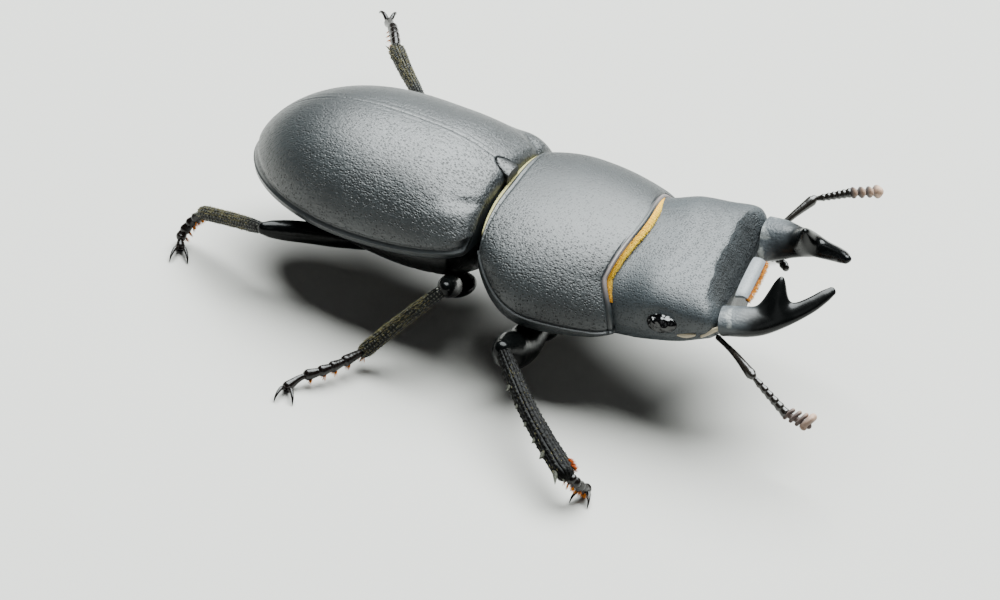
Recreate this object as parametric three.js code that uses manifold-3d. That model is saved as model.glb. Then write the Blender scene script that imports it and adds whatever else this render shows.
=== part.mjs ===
// Lesser stag beetle, adult male, life size.
// Millimetres. +X points forward to the head, +Y to the beetle's left, +Z up.
// The body frame has its origin on the midline where prothorax and wing cases meet,
// at the level of the wing cases' side rim. The floor is STAND_HEIGHT below it.
// The finished group is shifted so that the origin is the centre of the bounding box on the floor.

import * as THREE from 'three';
import { mergeVertices } from 'three/addons/utils/BufferGeometryUtils.js';
import Module from 'manifold-3d';

const wasm = await Module();
wasm.setup();

// ---------------------------------------------------------------- dimensions

const STAND_HEIGHT = 4.2;      // body frame origin above the floor
const GAP = 0.06;              // clearance between neighbouring pieces

const ELYTRA = {
  length: 11.45,
  width: 9.7,
  height: 3.64,                // top of the dome above the body origin
  baseHeight: 0.79,            // share of the height reached at the front edge
  shoulderRim: 0.96,           // how far the side rim climbs at the shoulder
  apexRim: -0.15,
  frontReach: 0.5,             // how far the shoulders reach round the prothorax
  sideEdge: 0.3,               // thickness of the folded side edge
  suture: 0.03,                // half the gap between the two cases
};

const PRONOTUM = {
  length: 6.07,
  width: 10.44,
  frontWidth: 8.78,
  rearHeight: 2.39,
  frontHeight: 2.58,
  crown: 0.22,
  hindAngle: 0.3,              // share of the half width rounded away at the hind angles
  rearRim: 1.35,               // how far the side rim climbs at the hind angles
  rearCurve: 0.23,
  frontLobe: 0.3,
  frontAngle: 0.85,            // how far the front angles reach forward
  lift: 0.09,
  underside: 2.25,
  roll: 4.7,
  pitch: -0.2,
  yaw: 3.2,
};

const HEAD = {
  length: 4.3,
  rear: -1.1,
  roll: 2.2,
  pitch: -9.4,
  yaw: 4.7,
};

const EYE = { x: 2.1, y: 3.9, z: 0.74, rx: 0.68, ry: 0.55, rz: 0.42 };

const MANDIBLE = {
  // x, y, z, half width, half depth along the middle line of the left jaw
  path: [
    [4.37, 2.98, 0.5, 0.9, 0.62],
    [5.1, 2.92, 0.57, 0.86, 0.62],
    [5.8, 2.8, 0.65, 0.72, 0.56],
    [6.5, 2.54, 0.79, 0.56, 0.47],
    [7.15, 2.2, 0.9, 0.42, 0.35],
    [7.75, 1.77, 1.1, 0.34, 0.3],
    [8.15, 1.38, 1.28, 0.28, 0.25],
    [8.38, 1.13, 1.37, 0.2, 0.18],
  ],
  toothBase: [6.24, 2.44, 0.8],
  toothTip: [6.49, 1.62, 2.13],
  toothRadius: 0.74,
  rootTilt: 35,
};

const SCUTELLUM_LEVEL = 2.45;  // underside of the shield above the body origin
const THORAX = { front: -0.1, rear: -5.3 };
const ABDOMEN = { rear: -11.15 };

const LEG = {
  coxa: { rx: 0.95, ry: 0.72, rz: 0.58 },
  femur: { start: 0.36, middle: 0.48, knee: 0.42 },
  frontFemur: { start: 0.65, middle: 0.84, knee: 0.54 },
  tibia: { knee: 0.26, end: 0.38, depth: 0.3 },
  frontTibia: { knee: 0.31, end: 0.47, depth: 0.33 },
  tarsus: { narrow: 0.25, wide: 0.31 },
  claw: { length: 0.85, radius: 0.16 },
};

// Joint centres of each leg in the body frame: hip, knee, end of the tibia, and the
// points that the foot passes through, and which way the claws point on the floor.
const LEGS = {
  front_right: {
    hip: [3.2, -2.0, -2.4], knee: [3.26, -6.39, -1.25], ankle: [8.4, -10.5, -2.75],
    foot: [[8.84, -10.38, -3.05], [8.98, -9.75, -3.68], [8.95, -9.25, -4.0]], claws: [0.15, -1],
  },
  mid_right: {
    hip: [-0.85, -2.1, -2.2], knee: [0.08, -5.57, 0.0], ankle: [-2.38, -7.14, -3.3],
    foot: [[-2.83, -8.46, -3.42], [-3.21, -9.2, -3.52], [-3.8, -9.85, -3.74], [-4.1, -10.45, -4.0]],
    claws: [0.35, -0.94],
  },
  hind_right: {
    hip: [-4.7, -1.5, -1.95], knee: [-8.5, -5.25, -0.8], ankle: [-12.1, -3.6, -2.35],
    foot: [[-12.65, -3.55, -3.1], [-12.9, -3.85, -3.74], [-12.72, -4.2, -4.0]], claws: [0.45, -0.9],
  },
  front_left: {
    hip: [3.2, 2.0, -2.3], knee: [3.6, 6.1, -1.0], ankle: [6.3, 8.7, -3.0],
    foot: [[6.7, 9.3, -3.7], [7.1, 10.1, -3.86], [7.5, 10.9, -4.0]], claws: [0.5, 0.86],
  },
  mid_left: {
    hip: [-0.85, 2.1, -2.2], knee: [-0.7, 5.9, -0.4], ankle: [-1.9, 8.4, -3.25],
    foot: [[-2.2, 9.1, -3.7], [-2.6, 9.9, -3.8], [-3.1, 10.7, -4.0]], claws: [-0.5, 0.85],
  },
  hind_left: {
    hip: [-4.7, 1.5, -1.95], knee: [-7.5, 6.7, 0.2], ankle: [-10.3, 9.8, 0.1],
    foot: [[-10.9, 10.8, 0.05], [-11.5, 11.8, -0.2], [-12.2, 12.9, -0.7]], claws: [-0.5, 0.85],
  },
};

const ANTENNA = {
  left: { root: [4.2, 4.0, 0.15], elbow: [5.7, 5.6, 0.8], club: [7.1, 6.1, 1.0], tip: [8.3, 6.5, 1.0] },
  right: {
    root: [4.7, -3.6, -0.25], elbow: [6.25, -5.3, -0.2], club: [7.75, -5.85, -1.4], tip: [8.78, -6.1, -1.66],
  },
};

// ---------------------------------------------------------------- materials

const MATERIALS = {
  chitin: new THREE.MeshStandardMaterial({ color: 0x3a3f42, roughness: 0.45, metalness: 0.0 }),
  leg: new THREE.MeshStandardMaterial({ color: 0x17191a, roughness: 0.3, metalness: 0.0 }),
  eye: new THREE.MeshStandardMaterial({ color: 0x0a0a0b, roughness: 0.08, metalness: 0.0 }),
  jaw: new THREE.MeshStandardMaterial({ color: 0x1c1f21, roughness: 0.3, metalness: 0.0 }),
  feeler: new THREE.MeshStandardMaterial({ color: 0x231f1d, roughness: 0.4, metalness: 0.0 }),
  club: new THREE.MeshStandardMaterial({ color: 0x7a5a4c, roughness: 0.7, metalness: 0.0 }),
  lip: new THREE.MeshStandardMaterial({ color: 0x6c7074, roughness: 0.5, metalness: 0.0 }),
};

// ---------------------------------------------------------------- helpers

const clamp = (value, low, high) => Math.min(high, Math.max(low, value));
const mix = (a, b, t) => a + (b - a) * t;
const smooth = (t) => t * t * (3 - 2 * t);
const vec = (p) => new THREE.Vector3(p[0], p[1], p[2]);
const radians = THREE.MathUtils.degToRad;

// Reads a smooth curve through [key, value] pairs.
function through(table, key) {
  if (key <= table[0][0]) {
    return table[0][1];
  }
  for (let i = 1; i < table.length; i += 1) {
    if (key <= table[i][0]) {
      const t = (key - table[i - 1][0]) / (table[i][0] - table[i - 1][0]);
      return mix(table[i - 1][1], table[i][1], smooth(t));
    }
  }
  return table[table.length - 1][1];
}

// Closed body from equally long rings of points, each end closed by a fan to its centre.
function loft(rings) {
  const count = rings[0].length;
  const positions = [];
  const index = [];
  for (const ring of rings) {
    for (const point of ring) {
      positions.push(point.x, point.y, point.z);
    }
  }
  for (let i = 0; i < rings.length - 1; i += 1) {
    for (let j = 0; j < count; j += 1) {
      const a = i * count + j;
      const b = i * count + ((j + 1) % count);
      index.push(a, b, a + count, b, b + count, a + count);
    }
  }
  for (const end of [0, rings.length - 1]) {
    const centre = new THREE.Vector3();
    for (const point of rings[end]) {
      centre.addScaledVector(point, 1 / count);
    }
    const tip = positions.length / 3;
    positions.push(centre.x, centre.y, centre.z);
    for (let j = 0; j < count; j += 1) {
      const a = end * count + j;
      const b = end * count + ((j + 1) % count);
      index.push(...(end === 0 ? [b, a, tip] : [a, b, tip]));
    }
  }
  const geometry = new THREE.BufferGeometry();
  geometry.setAttribute('position', new THREE.Float32BufferAttribute(positions, 3));
  geometry.setIndex(index);
  return facingOut(geometry);
}

// Turns the faces round when they enclose a negative volume.
function facingOut(geometry) {
  const p = geometry.getAttribute('position');
  const index = geometry.getIndex().array;
  const corner = (k) => new THREE.Vector3().fromBufferAttribute(p, index[k]);
  let volume = 0;
  for (let k = 0; k < index.length; k += 3) {
    volume += corner(k).dot(corner(k + 1).cross(corner(k + 2)));
  }
  if (volume < 0) {
    for (let k = 0; k < index.length; k += 3) {
      [index[k], index[k + 1]] = [index[k + 1], index[k]];
    }
  }
  return geometry;
}

function toSolid(geometry) {
  const plain = geometry.clone();
  plain.deleteAttribute('normal');
  plain.deleteAttribute('uv');
  const merged = mergeVertices(plain, 1e-5);
  return new wasm.Manifold(new wasm.Mesh({
    numProp: 3,
    vertProperties: new Float32Array(merged.getAttribute('position').array),
    triVerts: new Uint32Array(merged.getIndex().array),
  }));
}

function toGeometry(solid) {
  const mesh = solid.getMesh();
  const geometry = new THREE.BufferGeometry();
  geometry.setAttribute('position', new THREE.Float32BufferAttribute(mesh.vertProperties, 3));
  geometry.setIndex([...mesh.triVerts]);
  return geometry;
}

function join(first, ...others) {
  return toGeometry(others.reduce((sum, g) => sum.add(toSolid(g)), toSolid(first)));
}

function cut(first, ...others) {
  return toGeometry(others.reduce((rest, g) => rest.subtract(toSolid(g)), toSolid(first)));
}

// Ellipsoid with its three half axes, turned by an optional rotation.
function ellipsoid(centre, rx, ry, rz, across = 10, down = 7, rotation = null) {
  const geometry = new THREE.SphereGeometry(1, across, down);
  geometry.scale(rx, ry, rz);
  if (rotation) {
    geometry.applyMatrix4(new THREE.Matrix4().makeRotationFromEuler(rotation));
  }
  geometry.translate(centre.x, centre.y, centre.z);
  geometry.deleteAttribute('normal');
  geometry.deleteAttribute('uv');
  return mergeVertices(geometry, 1e-5);
}

// Tube along a smooth curve. size(t) gives [half width, half depth]; the width lies along `side`.
function limb(points, stations, size, side, sides = 8) {
  const curve = new THREE.CatmullRomCurve3(points, false, 'centripetal');
  const rings = stations.map((t) => {
    const centre = curve.getPoint(t);
    const ahead = curve.getTangent(t);
    const across = side.clone().addScaledVector(ahead, -side.dot(ahead)).normalize();
    const up = new THREE.Vector3().crossVectors(ahead, across);
    const [wide, deep] = size(t);
    const ring = [];
    for (let j = 0; j < sides; j += 1) {
      const angle = (2 * Math.PI * (j + 0.5)) / sides;
      ring.push(centre.clone()
        .addScaledVector(across, wide * Math.cos(angle))
        .addScaledVector(up, deep * Math.sin(angle)));
    }
    return ring;
  });
  return loft(rings);
}

// Short spike from a base point to a tip, for teeth, spurs and spines.
function spike(base, tip, radius, sides = 4) {
  const ahead = tip.clone().sub(base);
  const upright = Math.abs(ahead.z) > 0.8 * ahead.length();
  const side = upright ? new THREE.Vector3(1, 0, 0) : new THREE.Vector3(0, 0, 1);
  const middle = base.clone().lerp(tip, 0.5);
  const size = (t) => {
    const r = radius * (1 - 0.86 * t);
    return [r, r];
  };
  return limb([base, middle, tip], [0, 1], size, side, sides);
}

// Keeps only what stands above the floor, so that feet rest on small flats.
function trimToFloor(geometry) {
  const block = new THREE.BoxGeometry(60, 60, 4);
  block.translate(0, 0, -STAND_HEIGHT - 2);
  return cut(geometry, block);
}

const root = new THREE.Group();
const body = new THREE.Group();
body.position.z = STAND_HEIGHT;
root.add(body);

function addPiece(parent, name, geometry, material) {
  const mesh = new THREE.Mesh(geometry, material);
  mesh.name = name;
  parent.add(mesh);
  return mesh;
}

// ---------------------------------------------------------------- wing cases

// s runs from the front edge (0) to the apex (1).
function elytraHalfWidth(s) {
  const t = clamp((s - 0.4) / 0.6, 0, 1);
  const plan = Math.pow(Math.max(1 - Math.pow(t, 2.11), 0), 1 / 1.8);
  const shoulder = 1 - 0.06 * Math.exp(-s / 0.12) - 0.1 * Math.exp(-s / 0.02);
  return (ELYTRA.width / 2) * plan * shoulder;
}

function elytraRim(s) {
  const shoulder = ELYTRA.shoulderRim * Math.exp(-Math.pow(s / 0.22, 1.3));
  return shoulder + ELYTRA.apexRim * Math.pow(clamp((s - 0.4) / 0.6, 0, 1), 2);
}

function elytraTop(s) {
  if (s < 0.3) {
    return ELYTRA.height * (ELYTRA.baseHeight + (1 - ELYTRA.baseHeight) * Math.sin((Math.PI * s) / 0.6));
  }
  return ELYTRA.height * Math.pow(Math.max(1 - Math.pow((s - 0.3) / 0.7, 2.91), 0), 0.6);
}

function elytron(side) {
  const rings = [];
  const steps = 17;
  const arc = 9;
  for (let i = 0; i <= steps; i += 1) {
    const s = i === steps ? 0.9985 : 0.5 - 0.5 * Math.cos((Math.PI * i) / steps);
    const half = elytraHalfWidth(s);
    const rim = elytraRim(s);
    const dome = Math.max(elytraTop(s) - rim, 0.05);
    const edge = Math.min(ELYTRA.sideEdge, 0.12 + dome * 0.3);
    const reach = ELYTRA.frontReach * Math.pow(1 - s, 12);
    const stationAt = (y) => {
      const u = y / half;
      const corner = 1 - 0.8 * smooth(clamp((u - 0.93) / 0.07, 0, 1));
      return -GAP - s * ELYTRA.length + reach * Math.pow(u, 3) * corner;
    };
    const inner = side * ELYTRA.suture;
    const ring = [];
    for (let j = 0; j <= arc; j += 1) {
      const angle = (Math.PI / 2) * (j / arc);
      const y = Math.max(half * Math.pow(Math.cos(angle), 0.96), ELYTRA.suture);
      ring.push(new THREE.Vector3(stationAt(y), side * y, rim + dome * Math.pow(Math.sin(angle), 0.96)));
    }
    ring[arc].y = inner;
    ring.push(new THREE.Vector3(stationAt(0), inner, rim - edge));
    ring.push(new THREE.Vector3(stationAt(half), side * Math.max(half * 0.96, 0.1), rim - edge));
    rings.push(ring);
  }
  return loft(rings);
}

// Shield between the bases of the wing cases. grow widens it all round.
function scutellum(grow = 0) {
  const outline = new THREE.Shape();
  outline.moveTo(grow, -0.52 - grow);
  outline.quadraticCurveTo(-0.6 - grow, -0.42 - grow, -0.82 - grow, 0);
  outline.quadraticCurveTo(-0.6 - grow, 0.42 + grow, grow, 0.52 + grow);
  outline.closePath();
  const depth = grow > 0 ? 2 : 0.5;
  const geometry = new THREE.ExtrudeGeometry(outline, { depth, bevelEnabled: false, curveSegments: 5 });
  geometry.translate(0, 0, -grow);
  geometry.rotateY(radians(8));
  geometry.translate(-0.12, 0, SCUTELLUM_LEVEL);
  geometry.deleteAttribute('normal');
  geometry.deleteAttribute('uv');
  return mergeVertices(geometry, 1e-5);
}

addPiece(body, 'scutellum', scutellum(), MATERIALS.chitin);

// ---------------------------------------------------------------- underside of the hind body

// Section with a flat top and a rounded belly, at station x.
function bellySection(x, half, top, depth, count = 11) {
  const ring = [];
  for (let j = 0; j <= count; j += 1) {
    const angle = (Math.PI * j) / count;
    const c = Math.cos(angle);
    const y = half * c;
    const drop = Math.pow(Math.max(Math.sin(angle), 0), 1.15);
    ring.push(new THREE.Vector3(x, y, top - 0.12 - (top - 0.12 + depth) * drop));
  }
  ring.push(new THREE.Vector3(x, -half * 0.9, top));
  ring.push(new THREE.Vector3(x, half * 0.9, top));
  return ring;
}

function bellyLoft(front, rear, steps, depthAt, shrinkAt) {
  const rings = [];
  for (let i = 0; i <= steps; i += 1) {
    const x = mix(front, rear, i / steps);
    const s = clamp((-x - GAP) / ELYTRA.length, 0, 1);
    const half = (Math.max(elytraHalfWidth(s) - 0.3, 0.2)) * shrinkAt(i / steps);
    const top = elytraRim(s) - ELYTRA.sideEdge - GAP;
    rings.push(bellySection(x, half, top, depthAt(x)));
  }
  return loft(rings);
}

const hip = (name) => vec(LEGS[name].hip);
const coxaTurn = (name) => {
  const isLeft = name.endsWith('left');
  const angle = name.startsWith('front') ? 12 : -14;
  return new THREE.Euler(0, 0, radians(isLeft ? 90 - angle : -90 + angle));
};

function coxaShape(name, grow = 0) {
  const c = LEG.coxa;
  const coxaCentre = hip(name);
  return ellipsoid(coxaCentre, c.rx + grow, c.ry + grow, c.rz + grow, 8, 6, coxaTurn(name));
}

// Thigh of a leg: starts just clear of the hip and ends at the knee.
function femurShape(name, grow = 0) {
  const hipPoint = hip(name);
  const knee = vec(LEGS[name].knee);
  const up = new THREE.Vector3(0, 0, 1);
  const way = knee.clone().sub(hipPoint).normalize();
  const start = hipPoint.clone().addScaledVector(way, LEG.coxa.rx + 0.1 - grow);
  const isFront = name.startsWith('front');
  const bow = start.clone().lerp(knee, 0.5).addScaledVector(up, isFront ? -0.45 : 0.08);
  const f = isFront ? LEG.frontFemur : LEG.femur;
  const profile = [
    [0, f.start], [0.38, f.middle], [0.72, f.middle * 0.97], [0.92, f.knee], [1, f.knee * 0.66],
  ];
  const stations = grow > 0 ? [0, 0.38, 0.72, 1] : [0, 0.12, 0.38, 0.72, 0.92, 1];
  return limb([start, bow, knee], stations, (t) => {
    const r = through(profile, t) + grow;
    return [r, r * 0.9];
  }, up, 8);
}

const thoraxShape = bellyLoft(
  THORAX.front,
  THORAX.rear,
  7,
  (x) => through([[-5.3, 2.15], [-3.2, 2.3], [-1.5, 2.1], [-0.1, 1.5]], x),
  (t) => through([[0, 0.82], [0.12, 0.94], [0.35, 0.92], [1, 0.86]], t),
);
const rearLegs = ['mid_left', 'mid_right', 'hind_left', 'hind_right'];
const thoraxPockets = [
  ...rearLegs.map((name) => coxaShape(name, GAP)),
  ...rearLegs.map((name) => femurShape(name, 0.1)),
];
addPiece(body, 'thorax_underside', cut(thoraxShape, ...thoraxPockets), MATERIALS.leg);

const abdomenShape = bellyLoft(
  THORAX.rear - GAP,
  ABDOMEN.rear,
  9,
  (x) => through([[-11.15, 0.75], [-10.2, 1.4], [-8.6, 1.95], [-5.4, 2.15]], x),
  (t) => through([[0, 0.86], [0.8, 0.86], [1, 0.8]], t),
);
const abdomenPockets = ['hind_left', 'hind_right'].map((name) => coxaShape(name, GAP));
abdomenPockets.push(femurShape('hind_left', 0.1), femurShape('hind_right', 0.1));
addPiece(body, 'abdomen', cut(abdomenShape, ...abdomenPockets), MATERIALS.leg);

// ---------------------------------------------------------------- prothorax

const prothoraxGroup = new THREE.Group();
prothoraxGroup.position.z = 1;
prothoraxGroup.rotation.set(radians(PRONOTUM.roll), radians(PRONOTUM.pitch), radians(PRONOTUM.yaw), 'ZYX');
body.add(prothoraxGroup);
const prothoraxFrame = new THREE.Group();
prothoraxFrame.position.z = -1;
prothoraxGroup.add(prothoraxFrame);

// u is the share of the half width, 0 on the midline and 1 at the side rim.
function frontMargin(u) {
  const lobe = PRONOTUM.frontLobe * (Math.exp(-Math.pow(u / 0.55, 2)) - 1);
  const angle = PRONOTUM.frontAngle * Math.pow(clamp((u - 0.78) / 0.22, 0, 1), 1.5);
  return PRONOTUM.length + lobe + angle;
}

function rearMargin(u) {
  return PRONOTUM.rearCurve * Math.pow(clamp((u - 0.3) / 0.7, 0, 1), 2);
}

function pronotumHalfWidth(s) {
  const widest = 0.42;
  if (s < widest) {
    return (PRONOTUM.width / 2) * (1 - PRONOTUM.hindAngle * Math.pow(1 - s / widest, 2.18));
  }
  const t = (s - widest) / (1 - widest);
  const front = mix(PRONOTUM.width, PRONOTUM.frontWidth, Math.pow(t, 1.8)) / 2;
  return front * (1 - 0.07 * Math.pow(clamp((s - 0.88) / 0.12, 0, 1), 2));
}

function pronotumSection(s, count = 12, grow = 0) {
  const half = pronotumHalfWidth(s) + grow;
  const rim = PRONOTUM.rearRim * Math.pow(1 - clamp(s / 0.5, 0, 1), 2) + PRONOTUM.lift;
  const height = mix(PRONOTUM.rearHeight, PRONOTUM.frontHeight, s) + PRONOTUM.crown * Math.sin(Math.PI * s);
  const dome = height + PRONOTUM.lift - rim + grow;
  const depth = PRONOTUM.underside * (0.62 + 0.38 * Math.sin(Math.PI * clamp(s * 0.9 + 0.08, 0, 1))) + grow;
  const ring = [];
  const place = (c, z) => {
    const u = Math.abs(c);
    const x = mix(rearMargin(u), frontMargin(u), s);
    ring.push(new THREE.Vector3(x, half * c, z));
  };
  for (let j = 0; j <= count; j += 1) {
    const angle = (Math.PI * j) / count;
    const c = Math.sign(Math.cos(angle)) * Math.pow(Math.abs(Math.cos(angle)), 0.885);
    place(c, rim + dome * Math.pow(Math.max(Math.sin(angle), 0), 0.885));
  }
  for (let j = 0; j <= 8; j += 1) {
    const angle = Math.PI - (Math.PI * j) / 8;
    const c = 0.93 * Math.sign(Math.cos(angle)) * Math.pow(Math.abs(Math.cos(angle)), 1.05);
    place(c, rim - 0.22 - (rim - 0.22 + depth) * Math.pow(Math.max(Math.sin(angle), 0), 1.05));
  }
  return ring;
}

function prothoraxShape() {
  const rings = [];
  const steps = 12;
  for (let i = 0; i <= steps; i += 1) {
    rings.push(pronotumSection(0.5 - 0.5 * Math.cos((Math.PI * i) / steps)));
  }
  return loft(rings);
}

// The front coxae stand in the body frame, so their pockets are moved into the prothorax frame.
prothoraxFrame.updateWorldMatrix(true, false);
body.updateWorldMatrix(true, false);
const bodyToProthorax = prothoraxFrame.matrixWorld.clone().invert().multiply(body.matrixWorld);
const frontLegs = ['front_left', 'front_right'];
const frontPockets = [
  ...frontLegs.map((name) => coxaShape(name, GAP)),
  ...frontLegs.map((name) => femurShape(name, 0.1)),
].map((geometry) => geometry.applyMatrix4(bodyToProthorax));
addPiece(prothoraxFrame, 'prothorax', cut(prothoraxShape(), ...frontPockets), MATERIALS.chitin);

// The shoulders of the wing cases leave room for the prothorax, which is turned against them.
function prothoraxRoom() {
  const rings = [];
  for (const s of [0, 0.02, 0.07, 0.15, 0.3]) {
    const ring = pronotumSection(s, 12, GAP);
    for (const point of ring) {
      point.x -= GAP;
    }
    rings.push(ring);
  }
  return loft(rings).applyMatrix4(bodyToProthorax.clone().invert());
}

const shoulderRoom = prothoraxRoom();
addPiece(body, 'elytron_left', cut(elytron(1), scutellum(GAP), shoulderRoom), MATERIALS.chitin);
addPiece(body, 'elytron_right', cut(elytron(-1), scutellum(GAP), shoulderRoom), MATERIALS.chitin);

// ---------------------------------------------------------------- head

const headGroup = new THREE.Group();
headGroup.position.set(PRONOTUM.length, 0, PRONOTUM.lift + 1);
headGroup.rotation.set(radians(HEAD.roll), radians(HEAD.pitch), radians(HEAD.yaw), 'ZYX');
prothoraxFrame.add(headGroup);
const headFrame = new THREE.Group();
headFrame.position.z = -1;
headGroup.add(headFrame);

// Head profiles along its length: half width, top, hollow of the brow, side rim and underside.
const HEAD_SIDE = [
  [-1.1, 3.8], [0, 3.92], [1.2, 4.06], [2.4, 4.12], [3.3, 4.12], [3.9, 4.08], [4.15, 3.88], [4.3, 3.58],
];
const HEAD_TOP = [
  [-1.1, 2.2], [0, 2.3], [1.5, 2.27], [2.6, 2.12], [3.3, 2], [3.7, 1.92], [4, 1.72], [4.3, 1.3],
];
const HEAD_DIP = [[3.6, 0], [3.85, 0.35], [4.1, 0.72], [4.3, 0.82]];
const HEAD_RIM = [[0.5, 0.25], [2.6, 0.35], [3.6, 0.62], [4.3, 0.7]];
const HEAD_UNDER = [[-1.1, 1.5], [0, 1.55], [2, 1.3], [3.4, 0.95], [4.3, 0.6]];

function headSection(x, count = 13) {
  const half = through(HEAD_SIDE, x);
  const top = through(HEAD_TOP, x);
  const dip = through(HEAD_DIP, x);
  const under = through(HEAD_UNDER, x);
  const rim = through(HEAD_RIM, x);
  // The section is round at the neck and boxy in front.
  const boxy = smooth(clamp((x - 0.2) / 1.4, 0, 1));
  const sideways = mix(0.86, 0.74, boxy);
  const upward = mix(0.84, 0.62, boxy);
  const ring = [];
  for (let j = 0; j <= count; j += 1) {
    const angle = (Math.PI * j) / count;
    const c = Math.sign(Math.cos(angle)) * Math.pow(Math.abs(Math.cos(angle)), sideways);
    const y = half * c;
    const hollow = dip * Math.exp(-Math.pow(Math.abs(y) / 2.9, 8));
    const dome = (top - rim) * Math.pow(Math.max(Math.sin(angle), 0), upward);
    ring.push(new THREE.Vector3(x, y, rim + dome - hollow));
  }
  for (let j = 1; j < 8; j += 1) {
    const angle = Math.PI + (Math.PI * j) / 8;
    const c = Math.sign(Math.cos(angle)) * Math.pow(Math.abs(Math.cos(angle)), 0.95);
    ring.push(new THREE.Vector3(x, half * c * 0.95, rim - (rim + under) * Math.pow(-Math.sin(angle), 0.95)));
  }
  return ring;
}

function headShape() {
  const stations = [HEAD.rear, -0.3, 0.5, 1.3, 2.1, 2.8, 3.3, 3.65, 3.88, 4.1, HEAD.length];
  return loft(stations.map((x) => headSection(x)));
}

// What lies under the pronotum's front edge is taken off the head, with a narrow gap left for the hair.
function collar() {
  const rings = [];
  for (const s of [-0.35, 0.2, 0.6, 1]) {
    const ring = pronotumSection(Math.max(s, 0), 12, 0.35);
    for (const point of ring) {
      point.x += s < 0 ? -3 : 0.16 * s;
    }
    rings.push(ring);
  }
  return loft(rings);
}

headFrame.updateWorldMatrix(true, false);
const prothoraxToHead = headFrame.matrixWorld.clone().invert().multiply(prothoraxFrame.matrixWorld);
const collarInHead = collar().applyMatrix4(prothoraxToHead);

function eyeShape(side, grow = 0) {
  const centre = new THREE.Vector3(EYE.x, side * EYE.y, EYE.z);
  return ellipsoid(centre, EYE.rx + grow, EYE.ry + grow, EYE.rz + grow, 10, 6);
}

const headCut = cut(headShape(), collarInHead, eyeShape(1, GAP), eyeShape(-1, GAP));
addPiece(headFrame, 'head', headCut, MATERIALS.chitin);
addPiece(headFrame, 'eye_left', eyeShape(1), MATERIALS.eye);
addPiece(headFrame, 'eye_right', eyeShape(-1), MATERIALS.eye);

// Upper lip: a small plate in front of the brow.
function labrum() {
  const outline = new THREE.Shape();
  outline.moveTo(0, -1.32);
  outline.lineTo(0.5, -1.4);
  outline.quadraticCurveTo(0.62, 0, 0.5, 1.4);
  outline.lineTo(0, 1.32);
  outline.closePath();
  const settings = { depth: 0.34, bevelEnabled: false, curveSegments: 6 };
  const geometry = new THREE.ExtrudeGeometry(outline, settings);
  geometry.deleteAttribute('normal');
  geometry.deleteAttribute('uv');
  const merged = mergeVertices(geometry, 1e-5);
  merged.rotateY(radians(8));
  merged.translate(HEAD.length + GAP + 0.02, 0, 0.26);
  return merged;
}

addPiece(headFrame, 'labrum', labrum(), MATERIALS.lip);

function mandible(side) {
  const rings = [];
  const points = MANDIBLE.path.map((p) => new THREE.Vector3(p[0], side * p[1], p[2]));
  const curve = new THREE.CatmullRomCurve3(points, false, 'centripetal');
  const last = MANDIBLE.path.length - 1;
  const sides = 10;
  const steps = 11;
  for (let i = 0; i <= steps; i += 1) {
    const t = i / steps;
    const k = Math.min(Math.floor(t * last), last - 1);
    const blend = t * last - k;
    const wide = mix(MANDIBLE.path[k][3], MANDIBLE.path[k + 1][3], blend);
    const deep = mix(MANDIBLE.path[k][4], MANDIBLE.path[k + 1][4], blend);
    const centre = curve.getPoint(t);
    const ahead = curve.getTangent(t);
    if (i === 0) {
      ahead.set(1, 0, 0);
    }
    // The root is broadest from its upper outer to its lower inner side.
    const tilt = radians(MANDIBLE.rootTilt) * (1 - smooth(clamp(t / 0.45, 0, 1)));
    const across = new THREE.Vector3(0, Math.cos(tilt), side * Math.sin(tilt));
    across.addScaledVector(ahead, -ahead.dot(across)).normalize();
    const up = new THREE.Vector3().crossVectors(ahead, across);
    const ring = [];
    for (let j = 0; j < sides; j += 1) {
      const angle = (2 * Math.PI * j) / sides;
      ring.push(centre.clone()
        .addScaledVector(across, wide * Math.cos(angle))
        .addScaledVector(up, deep * Math.sin(angle)));
    }
    rings.push(ring);
  }
  const [bx, by, bz] = MANDIBLE.toothBase;
  const [tx, ty, tz] = MANDIBLE.toothTip;
  const base = new THREE.Vector3(bx, side * by, bz);
  const tip = new THREE.Vector3(tx, side * ty, tz);
  const belly = base.clone().lerp(tip, 0.55).add(new THREE.Vector3(-0.08, -0.06 * side, 0));
  const tooth = limb(
    [base, belly, tip],
    [0, 0.35, 0.7, 1],
    (t) => {
      const r = MANDIBLE.toothRadius;
      return [r * (1 - 0.86 * Math.pow(t, 0.7)), 0.7 * r * (1 - 0.82 * t)];
    },
    new THREE.Vector3(1, 0, 0),
    8,
  );
  return join(loft(rings), tooth);
}

addPiece(headFrame, 'mandible_left', mandible(1), MATERIALS.jaw);
addPiece(headFrame, 'mandible_right', mandible(-1), MATERIALS.jaw);

// ---------------------------------------------------------------- feelers and palps

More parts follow.
